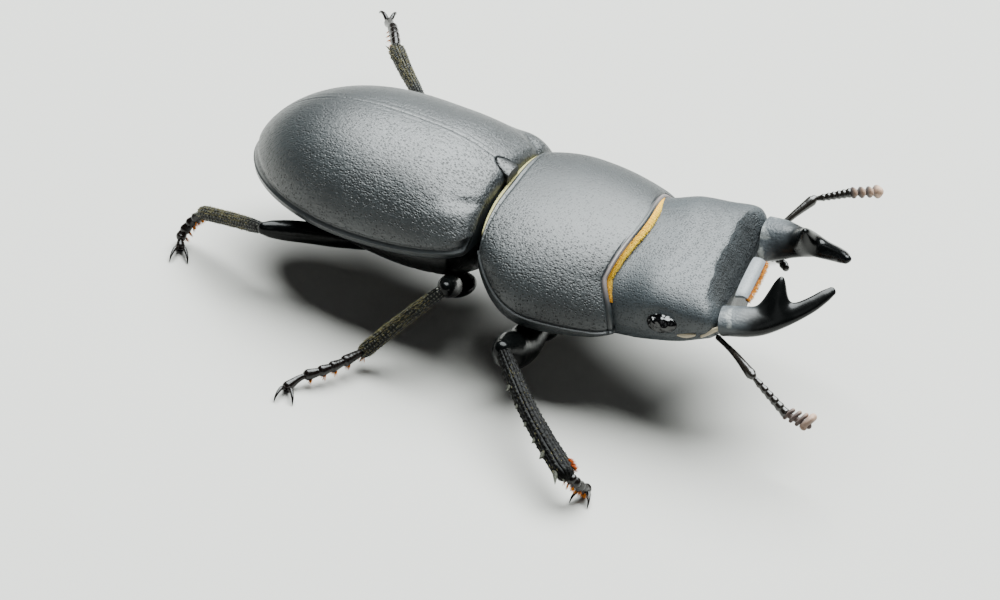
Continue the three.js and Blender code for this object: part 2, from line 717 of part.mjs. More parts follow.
function antenna(sideName) {
  const a = ANTENNA[sideName];
  const start = vec(a.root);
  const elbow = vec(a.elbow);
  const club = vec(a.club);
  const tip = vec(a.tip);
  const up = new THREE.Vector3(0, 0, 1);
  const bow = start.clone().lerp(elbow, 0.5).add(new THREE.Vector3(0, 0, 0.12));
  const scape = limb([start, bow, elbow], [0, 0.3, 0.6, 0.88, 1], (t) => {
    const r = through([[0, 0.25], [0.6, 0.26], [0.88, 0.31], [1, 0.16]], t);
    return [r, r];
  }, up, 7);
  addPiece(headFrame, `antenna_${sideName}_scape`, scape, MATERIALS.feeler);

  const forward = club.clone().sub(elbow).normalize();
  const funicleStart = elbow.clone().addScaledVector(forward, 0.27);
  const funicleEnd = club.clone().addScaledVector(forward, -GAP);
  const beads = 6;
  const stations = [];
  for (let i = 0; i <= beads; i += 1) {
    stations.push(i / beads);
  }
  const funicle = limb(
    [funicleStart, funicleStart.clone().lerp(funicleEnd, 0.5), funicleEnd],
    stations,
    (t) => [0.25 + 0.03 * t, 0.25 + 0.03 * t],
    up,
    7,
  );
  addPiece(headFrame, `antenna_${sideName}_funicle`, funicle, MATERIALS.feeler);

  // Four leaves stand out on one side of the club.
  const leafSide = new THREE.Vector3(0.35, sideName === 'left' ? -0.75 : 0.75, 0.55).normalize();
  const stem = limb([club, club.clone().lerp(tip, 0.5), tip], [0, 0.5, 1], () => [0.25, 0.25], up, 6);
  const leaves = [];
  for (let i = 0; i < 4; i += 1) {
    const foot = club.clone().lerp(tip, 0.12 + 0.26 * i);
    const reach = 0.36 + 0.06 * i;
    const end = foot.clone().addScaledVector(leafSide, reach).addScaledVector(forward, 0.12);
    leaves.push(limb([foot, foot.clone().lerp(end, 0.5), end], [0, 0.6, 1], () => [0.13, 0.24], forward, 6));
  }
  addPiece(headFrame, `antenna_${sideName}_club`, join(stem, ...leaves), MATERIALS.club);
}

antenna('left');
antenna('right');

function palp(side, name, points, radius) {
  const path = points.map((p) => new THREE.Vector3(p[0], side * p[1], p[2]));
  const shape = limb(path, [0, 0.33, 0.66, 0.9, 1], (t) => {
    const r = radius * through([[0, 0.9], [0.66, 1], [0.9, 1], [1, 0.6]], t);
    return [r, r];
  }, new THREE.Vector3(0, 0, 1), 6);
  addPiece(headFrame, name, shape, MATERIALS.feeler);
}

palp(1, 'palp_left', [[4.45, 3.05, -0.64], [4.75, 3.08, -0.62], [5.05, 2.86, -0.6], [5.32, 2.56, -0.64]], 0.25);
palp(-1, 'palp_right', [[4.45, 1.6, -0.6], [4.9, 1.75, -0.66], [5.2, 1.65, -0.64], [5.4, 1.45, -0.6]], 0.25);

// Chin plate under the mouth.
const chin = new THREE.BoxGeometry(2.2, 3, 1);
chin.translate(3.1, 0, -0.95);
const headAbove = headShape();
headAbove.translate(0, 0, -GAP);
addPiece(headFrame, 'mentum', cut(chin, headAbove), MATERIALS.feeler);

// ---------------------------------------------------------------- legs

function legPieces(name) {
  const leg = LEGS[name];
  const isFront = name.startsWith('front');
  const sideName = name.endsWith('left') ? 'left' : 'right';
  const pair = name.split('_')[0];
  const tag = `${pair}_${sideName}`;
  const knee = vec(leg.knee);
  const ankle = vec(leg.ankle);
  const up = new THREE.Vector3(0, 0, 1);
  const flip = sideName === 'left' ? -1 : 1;

  addPiece(body, `leg_${tag}_coxa`, coxaShape(name), MATERIALS.leg);

  // Shin: wide side in the plane of its outer edge, where the teeth are.
  const shinWay = ankle.clone().sub(knee).normalize();
  const outer = new THREE.Vector3().crossVectors(shinWay, up).normalize().multiplyScalar(flip);
  const shinStart = knee.clone().addScaledVector(shinWay, LEG.femur.knee * 0.75);
  const form = isFront ? LEG.frontTibia : LEG.tibia;
  const shinBow = shinStart.clone().lerp(ankle, 0.5).addScaledVector(outer, isFront ? 0.18 : 0.05);
  const wider = mix(form.knee, form.end, 0.75);
  const widthTable = [[0, form.knee], [0.7, wider], [0.95, form.end], [1, form.end * 0.8]];
  const widthAt = (t) => through(widthTable, t);
  const shinPath = [shinStart, shinBow, ankle];
  const shin = limb(shinPath, [0, 0.35, 0.7, 0.95, 1], (t) => [widthAt(t), form.depth], outer, 8);
  const extras = [];
  const teeth = isFront ? [0.4, 0.55, 0.69, 0.82] : [0.55];
  for (const t of teeth) {
    const seat = shinStart.clone().lerp(ankle, t).addScaledVector(outer, widthAt(t) * 0.75);
    const point = seat.clone().addScaledVector(outer, isFront ? 0.38 : 0.3).addScaledVector(shinWay, 0.24);
    extras.push(spike(seat, point, isFront ? 0.18 : 0.1));
  }
  for (const share of isFront ? [1.0, 0.35] : [0.75, -0.75]) {
    const seat = ankle.clone().addScaledVector(shinWay, -0.2);
    seat.addScaledVector(outer, form.end * share * 0.75);
    const point = seat.clone().addScaledVector(outer, share * 0.28).addScaledVector(shinWay, 0.62);
    extras.push(spike(seat, point, 0.14));
  }
  const tibia = join(shin, ...extras);

  // Foot: five joints, the last one longest.
  const footWay = vec(leg.foot[0]).sub(ankle).normalize();
  const footStart = ankle.clone().addScaledVector(footWay, 0.14);
  const points = [footStart, ...leg.foot.map(vec)];
  const joints = [0, 0.19, 0.35, 0.51, 0.67, 1];
  const stations = [];
  for (let i = 0; i < 5; i += 1) {
    stations.push(joints[i] + 0.01);
    stations.push(mix(joints[i], joints[i + 1], 0.82));
  }
  stations.push(1);
  const clawSide = new THREE.Vector3().crossVectors(up, shinWay).normalize();
  const foot = limb(points, stations, (t) => {
    const wide = stations.indexOf(t) % 2 === 1 || t === 1;
    const r = wide ? LEG.tarsus.wide : LEG.tarsus.narrow;
    return [r, r];
  }, clawSide, 6);

  // Claws: a pair of hooks, joined at their root.
  const endPoint = points[points.length - 1];
  const endWay = new THREE.Vector3(leg.claws[0], leg.claws[1], 0).normalize();
  const clawAcross = new THREE.Vector3(-endWay.y, endWay.x, 0);
  const clawRoot = endPoint.clone().addScaledVector(endWay, LEG.tarsus.wide + 0.1);
  const hooks = [1, -1].map((sign) => {
    const bend = clawRoot.clone().addScaledVector(endWay, 0.45 * LEG.claw.length)
      .addScaledVector(clawAcross, sign * 0.26).addScaledVector(up, 0.1);
    const tip = clawRoot.clone().addScaledVector(endWay, 0.8 * LEG.claw.length)
      .addScaledVector(clawAcross, sign * 0.4).addScaledVector(up, -0.17);
    const start = clawRoot.clone().addScaledVector(clawAcross, sign * 0.02);
    return limb([start, bend, tip], [0, 0.45, 0.8, 1], (t) => {
      const r = LEG.claw.radius * (1 - 0.55 * t);
      return [r, r];
    }, up, 5);
  });

  addPiece(body, `leg_${tag}_femur`, femurShape(name), MATERIALS.leg);
  addPiece(body, `leg_${tag}_tibia`, tibia, MATERIALS.leg);
  addPiece(body, `leg_${tag}_tarsus`, trimToFloor(foot), MATERIALS.leg);
  addPiece(body, `leg_${tag}_claws`, trimToFloor(join(...hooks)), MATERIALS.leg);
}

Object.keys(LEGS).forEach(legPieces);

// ---------------------------------------------------------------- origin

root.updateWorldMatrix(true, true);
const bounds = new THREE.Box3().setFromObject(root, true);
root.position.set(-(bounds.min.x + bounds.max.x) / 2, -(bounds.min.y + bounds.max.y) / 2, 0);

export default root;
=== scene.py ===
# %% [markdown]
# # A lesser stag beetle, life size
# This lesson dresses the plain solids of a beetle with the surfaces that the eye expects:
# satin wing cases with rows of pits, a rimmed shield behind the head, polished jaws, golden
# hair between the plates and bristles on the legs. Everything is made from named sizes in
# millimetres and a few short functions.

# %% Load the frame
import math

import bpy
import numpy as np
from mathutils import Matrix, Vector


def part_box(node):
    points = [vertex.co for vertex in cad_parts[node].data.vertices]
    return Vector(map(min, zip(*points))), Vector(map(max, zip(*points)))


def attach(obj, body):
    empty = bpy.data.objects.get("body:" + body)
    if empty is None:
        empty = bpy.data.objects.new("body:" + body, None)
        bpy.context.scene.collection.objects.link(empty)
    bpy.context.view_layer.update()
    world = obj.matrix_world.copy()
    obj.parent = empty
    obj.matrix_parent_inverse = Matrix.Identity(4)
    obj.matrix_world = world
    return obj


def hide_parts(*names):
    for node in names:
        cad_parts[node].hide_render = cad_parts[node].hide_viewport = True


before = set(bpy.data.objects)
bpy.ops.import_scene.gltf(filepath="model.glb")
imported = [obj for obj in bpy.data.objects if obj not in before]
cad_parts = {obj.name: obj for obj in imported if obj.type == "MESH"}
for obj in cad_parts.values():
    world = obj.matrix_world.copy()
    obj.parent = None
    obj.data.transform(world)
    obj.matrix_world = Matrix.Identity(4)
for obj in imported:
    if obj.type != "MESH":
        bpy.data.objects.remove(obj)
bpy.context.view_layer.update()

# %% [markdown]
# ## Where the body stands
# A beetle is three boxes in a row: hind body, prothorax and head, each a little turned
# against the next. It is easiest to model each one in its own straight frame and turn it
# afterwards, so this cell makes the three frames. The hind body's frame starts on the
# midline at its front edge, which the left wing case tells us. All sizes are millimetres.

# %% Frames of the three body parts
STAND_HEIGHT = 4.2  # from the floor to the side rim of the wing cases
GAP = 0.06  # between two solids that meet
SUTURE = 0.03  # from the midline to the solid of a wing case
SEAM = 0.004  # from the midline to the finished wing case
PIVOT_HEIGHT = 1  # prothorax and head turn about a point this high

WING_LENGTH = 11.45
WING_END = 0.9985 * WING_LENGTH
wing_low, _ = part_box("elytron_left")
ORIGIN = np.array([1000 * wing_low.x + WING_END + GAP, 1000 * wing_low.y - SUTURE, STAND_HEIGHT])


def shift(x, y, z):
    m = np.eye(4)
    m[:3, 3] = (x, y, z)
    return m


def turn(roll, pitch, yaw):
    """Rotation by yaw about Z after pitch about Y after roll about X, in degrees."""
    a, b, c = (math.radians(v) for v in (roll, pitch, yaw))
    rx = np.array([[1, 0, 0], [0, math.cos(a), -math.sin(a)], [0, math.sin(a), math.cos(a)]])
    ry = np.array([[math.cos(b), 0, math.sin(b)], [0, 1, 0], [-math.sin(b), 0, math.cos(b)]])
    rz = np.array([[math.cos(c), -math.sin(c), 0], [math.sin(c), math.cos(c), 0], [0, 0, 1]])
    m = np.eye(4)
    m[:3, :3] = rz @ ry @ rx
    return m


PRONOTUM_LENGTH = 6.07
PRONOTUM_LIFT = 0.09
PROTHORAX_TURN = (4.7, -0.2, 3.2)
HEAD_TURN = (2.2, -9.4, 4.7)
BODY = np.eye(4)
to_pivot = shift(0, 0, -PIVOT_HEIGHT)
PROTHORAX = shift(0, 0, PIVOT_HEIGHT) @ turn(*PROTHORAX_TURN) @ to_pivot
neck = shift(PRONOTUM_LENGTH, 0, PRONOTUM_LIFT + PIVOT_HEIGHT)
HEAD = PROTHORAX @ neck @ turn(*HEAD_TURN) @ to_pivot
print("body starts at", np.round(ORIGIN, 3), "mm")

# %% [markdown]
# ## Camera
# A long lens keeps the small animal free of strong perspective, as a real close-up
# camera does. It looks down from the beetle's right, a little in front, 0.2 m away.

# %% Camera
VIEW_TURN = 21.59
VIEW_RISE = 33.14
VIEW_TILT = 9.34
EYE_PLACE = np.array([60.56, -153.06, 107.46])
AIM_SIDE = -0.182
AIM_UP = -2.97
LENS_MM = 170.3
SENSOR_MM = 36
NEAR_M, FAR_M = 0.005, 20


def place_camera():
    az, el, roll = (math.radians(v) for v in (VIEW_TURN, VIEW_RISE, VIEW_TILT))
    ahead = Vector((-math.sin(az) * math.cos(el), math.cos(az) * math.cos(el), -math.sin(el)))
    level = Vector((math.cos(az), math.sin(az), 0))
    upright = level.cross(ahead)
    right = level * math.cos(roll) + upright * math.sin(roll)
    up = upright * math.cos(roll) - level * math.sin(roll)
    data = bpy.data.cameras.new("camera")
    data.sensor_width = SENSOR_MM
    data.lens = LENS_MM
    data.clip_start, data.clip_end = NEAR_M, FAR_M
    camera = bpy.data.objects.new("camera", data)
    eye = Vector(ORIGIN + EYE_PLACE) + right * AIM_SIDE + up * AIM_UP
    place = Matrix((right, up, -ahead)).transposed().to_4x4()
    place.translation = eye * 0.001
    camera.matrix_world = place
    bpy.context.collection.objects.link(camera)
    bpy.context.scene.camera = camera


place_camera()
print(f"camera: {LENS_MM} mm lens, {VIEW_RISE} degrees above the horizon")

# %% [markdown]
# ## Soft steps and smooth curves
# A beetle has hardly a straight line. Beads and grooves are bells, margins are soft steps,
# and the profile of a plate is a smooth curve through a few sizes. These could be drawn by
# hand as splines, but short formulas are easier to change and give the same shape each run.

# %% Soft steps and smooth curves
def power(value, exponent):
    return np.sign(value) * np.abs(value) ** exponent


def step_up(low, high, value):
    t = np.clip((value - low) / (high - low), 0, 1)
    return t * t * (3 - 2 * t)


def bell(value, centre, width):
    return np.exp(-((value - centre) / width) ** 2)


def unit(v):
    v = np.asarray(v, float)
    return v / np.maximum(np.linalg.norm(v, axis=-1, keepdims=True), 1e-12)


def curve_through(table, at):
    """Smooth curve through (key, value) pairs that never overshoots them."""
    key = np.array([row[0] for row in table], float)
    value = np.array([row[1] for row in table], float)
    slope = np.diff(value) / np.diff(key)
    bend = np.zeros_like(value)
    bend[0], bend[-1] = slope[0], slope[-1]
    for i in range(1, len(key) - 1):
        if slope[i - 1] * slope[i] > 0:
            bend[i] = 2 * slope[i - 1] * slope[i] / (slope[i - 1] + slope[i])
    at = np.clip(np.asarray(at, float), key[0], key[-1])
    k = np.clip(np.searchsorted(key, at, side="right") - 1, 0, len(key) - 2)
    width = key[k + 1] - key[k]
    t = (at - key[k]) / width
    start, end = value[k], value[k + 1]
    return (
        (1 + 2 * t) * (1 - t) ** 2 * start
        + t * (1 - t) ** 2 * width * bend[k]
        + t * t * (3 - 2 * t) * end
        + t * t * (t - 1) * width * bend[k + 1]
    )


print("one width off its middle a bell is", round(float(bell(1, 0, 1)), 2), "high")

# %% [markdown]
# ## Nets of points
# Shells are nets of points: rings of the same length, one behind the other. Numpy moves all
# the points at once, and Blender gets the finished net. Sculpting would also do, but a net
# keeps every bead and groove at its true size.

# %% Nets of points
def net_faces(rows, columns, closed):
    """Squares of a net whose rows follow each other; closed joins each row's end to its start."""
    i = np.arange(rows - 1)[:, None]
    j = np.arange(columns if closed else columns - 1)[None, :]
    a, b = i * columns + j, i * columns + (j + 1) % columns
    return np.stack([a, b, b + columns, a + columns], -1).reshape(-1, 4)


def fan(ring, tip):
    """Triangles from a ring of points to a tip; -1 stands for the missing fourth corner."""
    ring = np.asarray(ring)
    return np.stack([ring, np.roll(ring, -1), np.full_like(ring, tip), np.full_like(ring, -1)], -1)


def capped(rings):
    """Points and faces of a closed body from rings, each end closed by a fan."""
    rows, columns = rings.shape[:2]
    points = [rings.reshape(-1, 3), rings[0].mean(0)[None], rings[-1].mean(0)[None]]
    first = np.arange(columns)[::-1]
    last = np.arange(columns) + (rows - 1) * columns
    caps = [fan(first, rows * columns), fan(last, rows * columns + 1)]
    return np.concatenate(points), np.concatenate([net_faces(rows, columns, True)] + caps)


def merged(parts):
    """Joins several (points, faces) bodies into one."""
    points, faces, count = [], [], 0
    for p, f in parts:
        points.append(p)
        faces.append(np.where(f < 0, -1, f + count))
        count += len(p)
    return np.concatenate(points), np.concatenate(faces)


def net_normals(net):
    along = np.gradient(net, axis=0)
    across = np.gradient(net, axis=1)
    return unit(np.cross(along, across))


def run_length(net, axis):
    """Distance walked along one direction of a net, in millimetres."""
    steps = np.linalg.norm(np.diff(net, axis=axis), axis=-1)
    zero = np.zeros_like(np.take(steps, [0], axis=axis))
    return np.cumsum(np.concatenate([zero, steps], axis=axis), axis=axis)


print("a closed net of 3 rings of 4 points has", len(net_faces(3, 4, True)), "faces")

# %% [markdown]
# ## Finished pieces
# A net becomes a Blender mesh here. It can carry extra values for its points, such as how
# far along and across the shell each one lies in millimetres, so that pits follow the shell
# and don't smear over its sides. Every piece rides on the body, hides the plain solids that
# it stands in for, and gets its finish.

# %% Finished pieces
def to_world(points, body_frame):
    return (points @ body_frame[:3, :3].T + body_frame[:3, 3] + ORIGIN) * 0.001


made = []


def make_piece(name, points, faces, body_frame, material, nodes, values=None, crease=40):
    """A finished piece: mesh in metres, smooth shaded, riding on the body."""
    mesh = bpy.data.meshes.new(name)
    mesh.vertices.add(len(points))
    mesh.vertices.foreach_set("co", to_world(points, body_frame).astype(np.float32).ravel())
    corners = np.sum(faces >= 0, axis=1)
    loops = faces[faces >= 0]
    mesh.loops.add(len(loops))
    mesh.loops.foreach_set("vertex_index", loops.astype(np.int32))
    mesh.polygons.add(len(faces))
    starts = np.concatenate([[0], np.cumsum(corners)[:-1]])
    mesh.polygons.foreach_set("loop_start", starts.astype(np.int32))
    mesh.update(calc_edges=True)
    for key, data in (values or {}).items():
        data = np.asarray(data, np.float32)
        kind = "FLOAT_VECTOR" if data.ndim == 2 else "FLOAT"
        layer = mesh.attributes.new(key, kind, "POINT")
        layer.data.foreach_set("vector" if data.ndim == 2 else "value", data.ravel())
    mesh.shade_smooth()
    if crease:
        mesh.set_sharp_from_angle(angle=math.radians(crease))
    mesh.materials.append(material)
    piece = bpy.data.objects.new(name, mesh)
    bpy.context.collection.objects.link(piece)
    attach(piece, "root")
    if nodes:
        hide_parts(*nodes)
    made.append(name)
    print(f"{name}: {len(mesh.vertices)} points, {len(mesh.polygons)} faces")
    return piece


def with_caps(values):
    """Values of a net's points, with a zero for each of the two points that close its ends."""
    return np.concatenate([np.asarray(values).ravel(), [0, 0]])


def turn_out(points, faces):
    """Turns all faces round if they enclose a negative volume."""
    a, b, c = points[faces[:, 0]], points[faces[:, 1]], points[faces[:, 2]]
    total = np.sum(a * np.cross(b, c))
    square = faces[:, 3] >= 0
    d = points[faces[square, 3]]
    total += np.sum(a[square] * np.cross(c[square], d))
    if total > 0:
        return faces
    return np.where(square[:, None], faces[:, [3, 2, 1, 0]], faces[:, [2, 1, 0, 3]])


# %% [markdown]
# ## Colours and nodes
# A beetle's shell is chitin: a hard, layered natural plastic, dark right through. Its index
# of refraction is about 1.56. What the eye reads is the gloss and the pits, far more than
# the colour, so each finish starts from one roughness and one pit size. Painted pictures
# could carry the pits too, but patterns made by nodes stay sharp at any distance.

# %% Colours and nodes
CHITIN_IOR = 1.56


def linear(hex_colour):
    """sRGB hex to the linear colour that Blender's sockets expect."""
    parts = [int(hex_colour[i:i + 2], 16) / 255 for i in (1, 3, 5)]
    return [v / 12.92 if v <= 0.04045 else ((v + 0.055) / 1.055) ** 2.4 for v in parts] + [1.0]


def add_node(tree, kind, links=None, **settings):
    """Adds a node, sets its options, and fills or links its inputs."""
    node = tree.nodes.new(kind)
    for key, value in settings.items():
        setattr(node, key, value)
    for key, value in (links or {}).items():
        if isinstance(value, bpy.types.NodeSocket):
            tree.links.new(value, node.inputs[key])
        else:
            node.inputs[key].default_value = value
    return node


def new_finish(name, colour, roughness, **constants):
    """A material with its main shader; constants go straight onto the shader's sockets."""
    material = bpy.data.materials.new(name)
    material.use_nodes = True
    tree = material.node_tree
    shader = tree.nodes["Principled BSDF"]
    shader.inputs["Base Color"].default_value = linear(colour)
    shader.inputs["Roughness"].default_value = roughness
    shader.inputs["IOR"].default_value = CHITIN_IOR
    for key, value in constants.items():
        shader.inputs[key.replace("_", " ")].default_value = value
    return material, tree, shader


print("half sRGB grey is", round(linear("#808080")[0], 3), "in linear colour")

# %% [markdown]
# ## Pitted chitin
# The shell is covered with tiny bowls. They are painted dark inside as shade, because little
# light gets back out, and they are duller than the smooth shell between them. A pattern of
# cells gives one bowl to each cell. The net's own values say how strong the pits are
# ("coarse"), where the shell is dull and painted in shade ("dull") and where its rim is
# paler ("rim").

# %% Pitted chitin
# Colour painted at the bottom of a pit as shade.
PIT_SHADE_COLOUR = "#050606"
PIT_ROUGHER = 0.14  # added roughness inside a pit, and where the shell is dull
# Gloss in a pit and on open shell; the lower gloss in a pit is painted shade.
PIT_SPECULAR, SHELL_SPECULAR = 0.14, 0.5
# Where the shell is dull, in the brow hollow, colour and gloss are painted darker as shade by this share.
DULL_PAINTED_SHADE = 0.6  # share of its light that dull shell loses
PIT_UNEVEN = 0.7
# Sockets of a Mix node that mixes colours: first colour, second colour, result.
COLOUR_A, COLOUR_B, MIXED = 6, 7, 2


def net_value(tree, name):
    """The value or vector that a net carries under this name."""
    return add_node(tree, "ShaderNodeAttribute", attribute_name=name)


def blend(tree, share, first, second):
    """The first colour where the share is 0, the second where it is 1."""
    node = add_node(tree, "ShaderNodeMix", {
        "Factor": share, COLOUR_A: first, COLOUR_B: second,
    }, data_type="RGBA")
    return node.outputs[MIXED]


def bump(tree, height, strength, distance_mm, below=None):
    """Relief of this depth; below is the relief that it lies on."""
    links = {"Height": height, "Strength": strength, "Distance": distance_mm * 0.001}
    if below:
        links["Normal"] = below
    return add_node(tree, "ShaderNodeBump", links).outputs[0]


def pit_relief(tree, place, coarse, pit_mm, depth_mm, row_share, wrinkle_mm):
    """Relief of the pits, a grain over them and wide wrinkles; also the rise out of each pit."""
    spaced = add_node(tree, "ShaderNodeMapping", {
        "Vector": place, "Scale": (1 / pit_mm, 1 / (pit_mm * row_share), 1 / pit_mm),
    }).outputs[0]
    pits = add_node(tree, "ShaderNodeTexVoronoi", {
        "Vector": spaced, "Scale": 1.0, "Randomness": PIT_UNEVEN,
    })
    bowl = add_node(tree, "ShaderNodeMapRange", {
        "Value": pits.outputs["Distance"], "From Min": 0.05, "From Max": 0.5,
    }, interpolation_type="SMOOTHSTEP").outputs[0]
    grain = add_node(tree, "ShaderNodeTexNoise", {
        "Vector": spaced, "Scale": 0.9, "Detail": 3.0, "Roughness": 0.6,
    })
    relief = bump(tree, bowl, coarse, depth_mm)
    relief = bump(tree, grain.outputs["Fac"], coarse, 1.6 * depth_mm, relief)
    if wrinkle_mm:
        drawn_out = add_node(tree, "ShaderNodeMapping", {
            "Vector": place, "Scale": (0.4 / wrinkle_mm, 1 / wrinkle_mm, 1 / wrinkle_mm),
        })
        folds = add_node(tree, "ShaderNodeTexNoise", {
            "Vector": drawn_out.outputs[0], "Scale": 1.0, "Detail": 2.0, "Distortion": 0.6,
        })
        relief = bump(tree, folds.outputs["Fac"], coarse, 1.2 * depth_mm, relief)
    return relief, bowl


def painted_pit_light(tree, bowl, coarse, dull):
    """Painted light: 1 on open shell, falling to 0 at the bottom of a pit and lower where the shell is dull,
    both as painted shade.
    """
    filled = add_node(tree, "ShaderNodeMapRange", {"Value": coarse, "To Min": 1.0, "To Max": 0.0})
    between_pits = add_node(tree, "ShaderNodeMath", {
        0: bowl, 1: coarse, 2: filled.outputs[0],
    }, operation="MULTIPLY_ADD", use_clamp=True)
    lit = add_node(tree, "ShaderNodeMath", {0: dull, 1: -DULL_PAINTED_SHADE, 2: 1.0}, operation="MULTIPLY_ADD")
    return add_node(tree, "ShaderNodeMath", {
        0: between_pits.outputs[0], 1: lit.outputs[0],
    }, operation="MULTIPLY", use_clamp=True).outputs[0]


def pitted_chitin(
    name, colour, pale, roughness, pit_mm, depth_mm, row_share=1.0, wrinkle_mm=0.0, rim=None, **constants
):
    """Shell with pits. pit_mm is their spacing, row_share how much closer they sit in rows."""
    material, tree, shader = new_finish(name, colour, roughness, **constants)
    place = net_value(tree, "shell_mm").outputs["Vector"]
    coarse = net_value(tree, "coarse").outputs["Fac"]
    dull = net_value(tree, "dull").outputs["Fac"]
    relief, bowl = pit_relief(tree, place, coarse, pit_mm, depth_mm, row_share, wrinkle_mm)
    tree.links.new(relief, shader.inputs["Normal"])

    cloud = add_node(tree, "ShaderNodeTexNoise", {
        "Vector": place, "Scale": 0.55, "Detail": 4.0, "Roughness": 0.6,
    })
    patches = add_node(tree, "ShaderNodeMapRange", {
        "Value": cloud.outputs["Fac"], "From Min": 0.35, "From Max": 0.7,
    })
    pit_light = painted_pit_light(tree, bowl, coarse, dull)
    surface = blend(tree, patches.outputs[0], linear(colour), linear(pale))
    # Pits, and the dull hollow of the brow, are painted darker here as shade.
    tone = blend(tree, pit_light, linear(PIT_SHADE_COLOUR), surface)
    if rim:
        tone = blend(tree, net_value(tree, "rim").outputs["Fac"], tone, linear(rim))
    tree.links.new(tone, shader.inputs["Base Color"])

    # The same painted shade lowers the gloss in the pits and in the brow hollow.
    glint = add_node(tree, "ShaderNodeMapRange", {
        "Value": pit_light, "To Min": PIT_SPECULAR, "To Max": SHELL_SPECULAR,
    })
    tree.links.new(glint.outputs[0], shader.inputs["Specular IOR Level"])
    gloss = add_node(tree, "ShaderNodeMapRange", {
        "Value": bowl, "To Min": roughness + PIT_ROUGHER, "To Max": roughness,
    })
    worn = add_node(tree, "ShaderNodeMath", {
        0: dull, 1: PIT_ROUGHER, 2: gloss.outputs[0],
    }, operation="MULTIPLY_ADD", use_clamp=True)
    tree.links.new(worn.outputs[0], shader.inputs["Roughness"])
    print(f"{name}: pits {pit_mm} mm apart and about {depth_mm} mm deep")
    return material


# %% [markdown]
# ## Wing cases
# The two wing cases lock along the suture and roof the hind body. In section each is a
# quarter of a rounded arch, and in plan it narrows to a blunt apex. The side edge carries a
# narrow raised bead with a gutter inside it; the shoulder has a low boss. A net with more
# columns near the bead keeps the bead crisp.

# %% Wing case shape
WING_WIDTH = 9.7
WING_HEIGHT = 3.64
WING_EDGE = 0.3
WING_REACH = 0.5


def wing_half(s):
    t = np.clip((s - 0.4) / 0.6, 0, 1)
    plan = np.maximum(1 - t ** 2.11, 0) ** (1 / 1.8)
    shoulder = 1 - 0.06 * np.exp(-s / 0.12) - 0.1 * np.exp(-s / 0.02)
    return WING_WIDTH / 2 * plan * shoulder


def wing_rim(s):
    return 0.96 * np.exp(-(s / 0.22) ** 1.3) - 0.15 * np.clip((s - 0.4) / 0.6, 0, 1) ** 2


def wing_top(s):
    base = 0.79
    front = base + (1 - base) * np.sin(math.pi * np.minimum(s, 0.3) / 0.6)
    rear = np.maximum(1 - np.clip((s - 0.3) / 0.7, 0, 1) ** 2.91, 0) ** 0.6
    return WING_HEIGHT * np.where(s < 0.3, front, rear)


SHIELD_LENGTH = 0.8
SHIELD_HALF = 0.5


def shield_reach(x, y):
    """1 on the outline of the small shield between the wing bases, less inside."""
    p = np.clip((-0.12 - x) / SHIELD_LENGTH, 0, 2)
    return np.sqrt((np.abs(y) / SHIELD_HALF) ** 2 + p ** 1.7)


print("wing cases are", round(2 * float(wing_half(np.linspace(0, 1, 200)).max()), 2), "mm wide")

# %% [markdown]
# ## Relief of a wing case
# Low forms decide how the arch catches the light: the bead and the gutter of the side edge,
# a fine line beside the suture, a boss and a dent at the shoulder, the fall toward the base,
# and the seat of the small shield. Each is a bell or a step given by its height, its place
# and its width, so that one can be changed without touching the others.

# %% Relief of a wing case
BEAD = (0.05, 0.05, 0.05)
GUTTER = (0.06, 0.21, 0.08)
SUTURE_LINE = (0.008, 0.3, 0.05)
# Height, then place and width along the wing case, then the same across it.
SHOULDER_BOSS = (0.13, 1.0, 0.75, 1.75, 0.55)
SHOULDER_DENT = (-0.1, 0.55, 0.5, 2.55, 0.28)
BASE_FALL = 0.24
SHIELD_SEAT = 0.14


def wing_relief(s, along, from_rim, from_suture, reach):
    """How far each point stands out from the plain arch."""
    wide = 1 + 1.2 * step_up(0.7, 1.0, s)[:, None]
    high, place, width = BEAD
    lift = high * bell(from_rim, place, width)
    deep, place, width = GUTTER
    lift = lift - deep * bell(from_rim, place * wide, width * wide)
    deep, place, width = SUTURE_LINE
    lift = lift - deep * bell(from_suture, place, width) * step_up(0.3, 1.2, along)
    lift = lift - 0.02 * np.exp(-from_suture / 0.03)
    for high, place, long, place_across, width in (SHOULDER_BOSS, SHOULDER_DENT):
        lift = lift + high * bell(along, place, long) * bell(from_rim, place_across, width)
    inner = step_up(0.1, 0.7, from_rim)
    lift = lift - inner * BASE_FALL * np.exp(-(along / 0.2) ** 1.3) - 0.05 * np.exp(-along / 0.05)
    return lift - SHIELD_SEAT * (1 - step_up(0.9, 1.0, reach))


def wing_coarseness(along, from_rim, from_suture):
    """Strength of the pits: smooth on the bead, strongest toward the base."""
    off_bead = step_up(0.1, 0.32, from_rim)
    near_base = np.exp(-along / 2.4) * step_up(0.3, 2.5, from_suture)
    flank = step_up(4.5, 1.0, from_rim)
    return (0.6 + 0.8 * near_base + 0.25 * flank + 0.5 * np.exp(-along / 0.5)) * off_bead


print("side bead", BEAD[0], "mm high, gutter", GUTTER[0], "mm deep")

# %% [markdown]
# ## One wing case as a closed net
# The net starts at the side rim, climbs to the suture, drops down the inner wall and comes
# back underneath. A shell without thickness would render faster, but its open edge would
# show where the prothorax leaves the base free.

# %% One wing case as a closed net
# Share of the half width and of the edge's depth for each line of the underside.
WING_UNDER = ((0.3, 1.0), (0.6, 1.0), (0.88, 1.0), (0.95, 0.92), (0.985, 0.7), (0.998, 0.4))
RIGHT_PATTERN_SHIFT = 20  # so that the right wing case doesn't repeat the left one's pits


